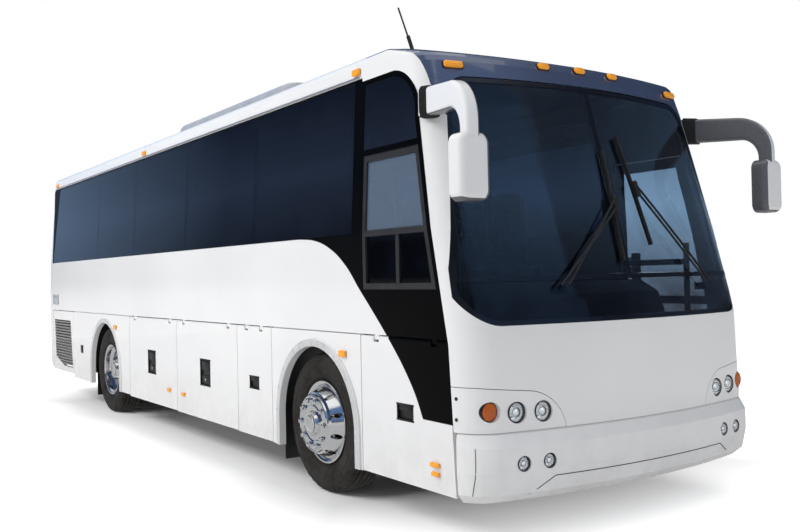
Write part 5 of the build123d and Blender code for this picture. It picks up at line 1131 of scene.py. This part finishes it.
driver_pads = Build()
driver_shell = Build()
foot = seat(driver_pads, driver_shell, *DRIVER_AT, CAB_FLOOR_Z, DRIVER_WIDER)
driver_shell.revolve(DRIVER_POST, foot @ shift(0, -0.25, 0.005), 32, 1)
driver_cloth = driver_pads.piece("driver_seat_pads", "body", SEAT_CLOTH, sharp=70.0)
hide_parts("driver_seat")
driver_base = driver_shell.piece("driver_seat_base", "body", SEAT_TRIM, CHASSIS)
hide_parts("driver_seat")

# Studio: pale floor, white surround, soft lamps and dark flags that only reflections see
FLOOR_REACH = 40.0
FLOOR_FADE, FADE_SHAPE = (7.5, 15.0), (1.0, 0.75, 0.0)
SIDE_GLOW, END_GLOW, FLOOR_GLOW = (0.1, 1.2), (-1.6, 0.1), 0.7
FLAG_X, FLAG_Y, FLAG_LOW, FLAG_TOP = 9.0, 17.0, 0.05, 18.0
FLAG_EDGE, GROUND_FLAG_Z = 0.1, 0.003
FLAG_TONES = (
    (0.0, (0.75, 0.75, 0.75)), (0.06, (0.6, 0.6, 0.61)), (0.085, (0.003, 0.004, 0.006)),
    (0.128, (0.003, 0.004, 0.006)), (0.14, (0.085, 0.12, 0.2)), (0.27, (0.03, 0.055, 0.12)),
    (0.6, (0.035, 0.05, 0.095)), (1.0, (0.22, 0.26, 0.36)),
)
REAR_SKY, REAR_SKY_Z, REAR_SKY_X = (0.3, 0.45, 0.7), (2.3, 2.5), -3.5
FRONT_SKY, FRONT_SKY_Z = (0.1, 0.2, 0.42), (1.6, 4.0)
FLAG_SOCKETS = {
    "Base_Color": (0.0, 0.0, 0.0), "Roughness": 1.0, "Specular_IOR_Level": 0.0, "Emission_Strength": 1.0,
}
WORLD_LIT, WORLD_SEEN = 0.6, 1.0


def floor_paint():
    """Pale floor: it fades out, glows clear of the vehicle for the camera alone and is open from below."""
    f = Finish("studio_floor", Roughness=0.95, Specular_IOR_Level=0.0, Emission_Color=(1.0, 1.0, 1.0))
    f.to("Base Color", f.mottle((0.9, 0.9, 0.9), (0.92, 0.92, 0.92), 0.4))
    ground = f.node("VectorMath", {0: f.place, 1: FADE_SHAPE}, operation="MULTIPLY").outputs["Vector"]
    away = f.node("VectorMath", {0: ground}, operation="LENGTH").outputs["Value"]
    above = f.math("SUBTRACT", 1.0, f.node("NewGeometry").outputs["Backfacing"])
    f.to("Alpha", f.times(above, f.span(away, *FLOOR_FADE, 1.0, 0.0)))
    x, y, _ = f.axes(f.place)
    beside = f.span(f.math("SUBTRACT", f.math("ABSOLUTE", x), HALF), *SIDE_GLOW, 0.0, FLOOR_GLOW)
    beyond = f.span(f.math("SUBTRACT", f.math("ABSOLUTE", y), cad_high[1]), *END_GLOW, 0.0, FLOOR_GLOW)
    seen = f.node("LightPath").outputs["Is Camera Ray"]
    f.to("Emission Strength", f.times(seen, f.math("MAXIMUM", beside, beyond)))
    return f.material


def flag_paint():
    """What reflections see round about: pale ground, a dark skyline, and sky to the front and rear."""
    f = Finish("studio_flag", **FLAG_SOCKETS)
    x, y, z = f.axes(f.place)
    tone = f.ramp(f.span(z, 0.0, FLAG_TOP), *FLAG_TONES)
    behind = f.math("GREATER_THAN", y, FLAG_Y - FLAG_EDGE)
    lift = f.times(behind, f.span(z, *REAR_SKY_Z), f.span(x, -FLAG_X, REAR_SKY_X))
    ahead = f.math("LESS_THAN", y, FLAG_EDGE - FLAG_Y)
    sky = f.times(ahead, f.span(z, *FRONT_SKY_Z))
    return f.to("Emission Color", f.mix(sky, f.mix(lift, tone, REAR_SKY), FRONT_SKY)).material


def ground_paint():
    """What reflections see below: pale, faintly mottled ground."""
    f = Finish("studio_ground_flag", **FLAG_SOCKETS)
    tone = f.mix(f.vary(0.0, 1.0, 0.5), (0.45, 0.45, 0.455), (0.55, 0.55, 0.555))
    return f.to("Emission Color", tone).material


def stage_mesh(name, points, material):
    mesh = bpy.data.meshes.new(name)
    mesh.from_pydata(points, [], [tuple(range(len(points)))])
    mesh.materials.append(material)
    made = placed(name, mesh)
    return made


def level(x, y, z):
    """Corners of a level sheet about the origin."""
    return [(-x, -y, z), (x, -y, z), (x, y, z), (-x, y, z)]


stage_mesh("studio_floor", level(FLOOR_REACH, FLOOR_REACH, 0), floor_paint())
right_front, left_front, left_rear, right_rear = ((x, y) for x, y, _ in level(FLAG_X, FLAG_Y, 0))
street = flag_paint()
flags = []
for flag_name, a, b in (
    ("flag_right", right_front, right_rear), ("flag_left", left_front, left_rear),
    ("flag_front", right_front, left_front), ("flag_rear", right_rear, left_rear),
):
    corners = [(*a, FLAG_LOW), (*b, FLAG_LOW), (*b, FLAG_TOP), (*a, FLAG_TOP)]
    flags.append(stage_mesh(flag_name, corners, street))
flags.append(stage_mesh("ground_flag", level(FLAG_X, FLAG_Y, GROUND_FLAG_Z), ground_paint()))
for flag in flags:
    flag.visible_camera = flag.visible_diffuse = flag.visible_transmission = flag.visible_shadow = False

world = bpy.data.worlds.new("studio")
stage_scene.world = world
world.use_nodes = True
tree = world.node_tree
path = tree.nodes.new("ShaderNodeLightPath")
shown = path.outputs["Is Camera Ray"]
for ray in ("Is Glossy Ray", "Is Transmission Ray"):
    either = tree.nodes.new("ShaderNodeMath")
    either.operation = "MAXIMUM"
    tree.links.new(shown, either.inputs[0])
    tree.links.new(path.outputs[ray], either.inputs[1])
    shown = either.outputs[0]
strength = tree.nodes.new("ShaderNodeMapRange")
strength.inputs["To Min"].default_value = WORLD_LIT
strength.inputs["To Max"].default_value = WORLD_SEEN
backdrop = tree.nodes["Background"]
tree.links.new(shown, strength.inputs["Value"])
tree.links.new(strength.outputs["Result"], backdrop.inputs["Strength"])
backdrop.inputs["Color"].default_value = (1.0, 1.0, 1.0, 1.0)


def lamp(name, place, aim, size, power, colour=(1.0, 1.0, 1.0)):
    light = bpy.data.lights.new(name, "AREA")
    light.shape = "RECTANGLE"
    light.size, light.size_y = size
    light.energy = power
    light.color = colour
    made = placed(name, light)
    made.location = place
    made.rotation_euler = (Vector(aim) - Vector(place)).to_track_quat("-Z", "Y").to_euler()
    made.visible_glossy = False
    return made


lamp("key", (-10.0, 1.0, 9.0), (0.0, 0.0, 1.0), (12.0, 5.0), 1080.0)
lamp("front_fill", (2.0, -13.0, 7.0), (0.0, -4.0, 1.4), (7.0, 4.0), 60.0, (0.7, 0.82, 1.0))
cabin_lamp = lamp("cabin", (0.0, -0.6, 2.98), (0.0, -0.61, 1.2), (0.9, 6.0), 8.0)
cabin_lamp.visible_transmission = cabin_lamp.visible_camera = False
lamp("rim", (9.0, 6.0, 9.0), (0.0, 0.0, 1.0), (10.0, 4.0), 500.0)

# Camera at the photograph's place
CAMERA_AT = Vector((-4.4338, -8.8074, 1.5587))
YAW, PITCH, ROLL = (math.radians(a) for a in (34.2966, 0.6366, -1.2229))
forward = Vector((math.sin(YAW) * math.cos(PITCH), math.cos(YAW) * math.cos(PITCH), math.sin(PITCH)))
across = Vector((math.cos(YAW), -math.sin(YAW), 0.0))
upward = across.cross(forward)
right = math.cos(ROLL) * across + math.sin(ROLL) * upward
over = -math.sin(ROLL) * across + math.cos(ROLL) * upward
camera = bpy.data.cameras.new("camera")
camera.sensor_width = 36.0
camera.lens = 40.475
camera.clip_end = 300.0
viewer = placed("camera", camera)
viewer.matrix_world = Matrix.Translation(CAMERA_AT) @ Matrix((right, over, -forward)).transposed().to_4x4()
stage_scene.camera = viewer
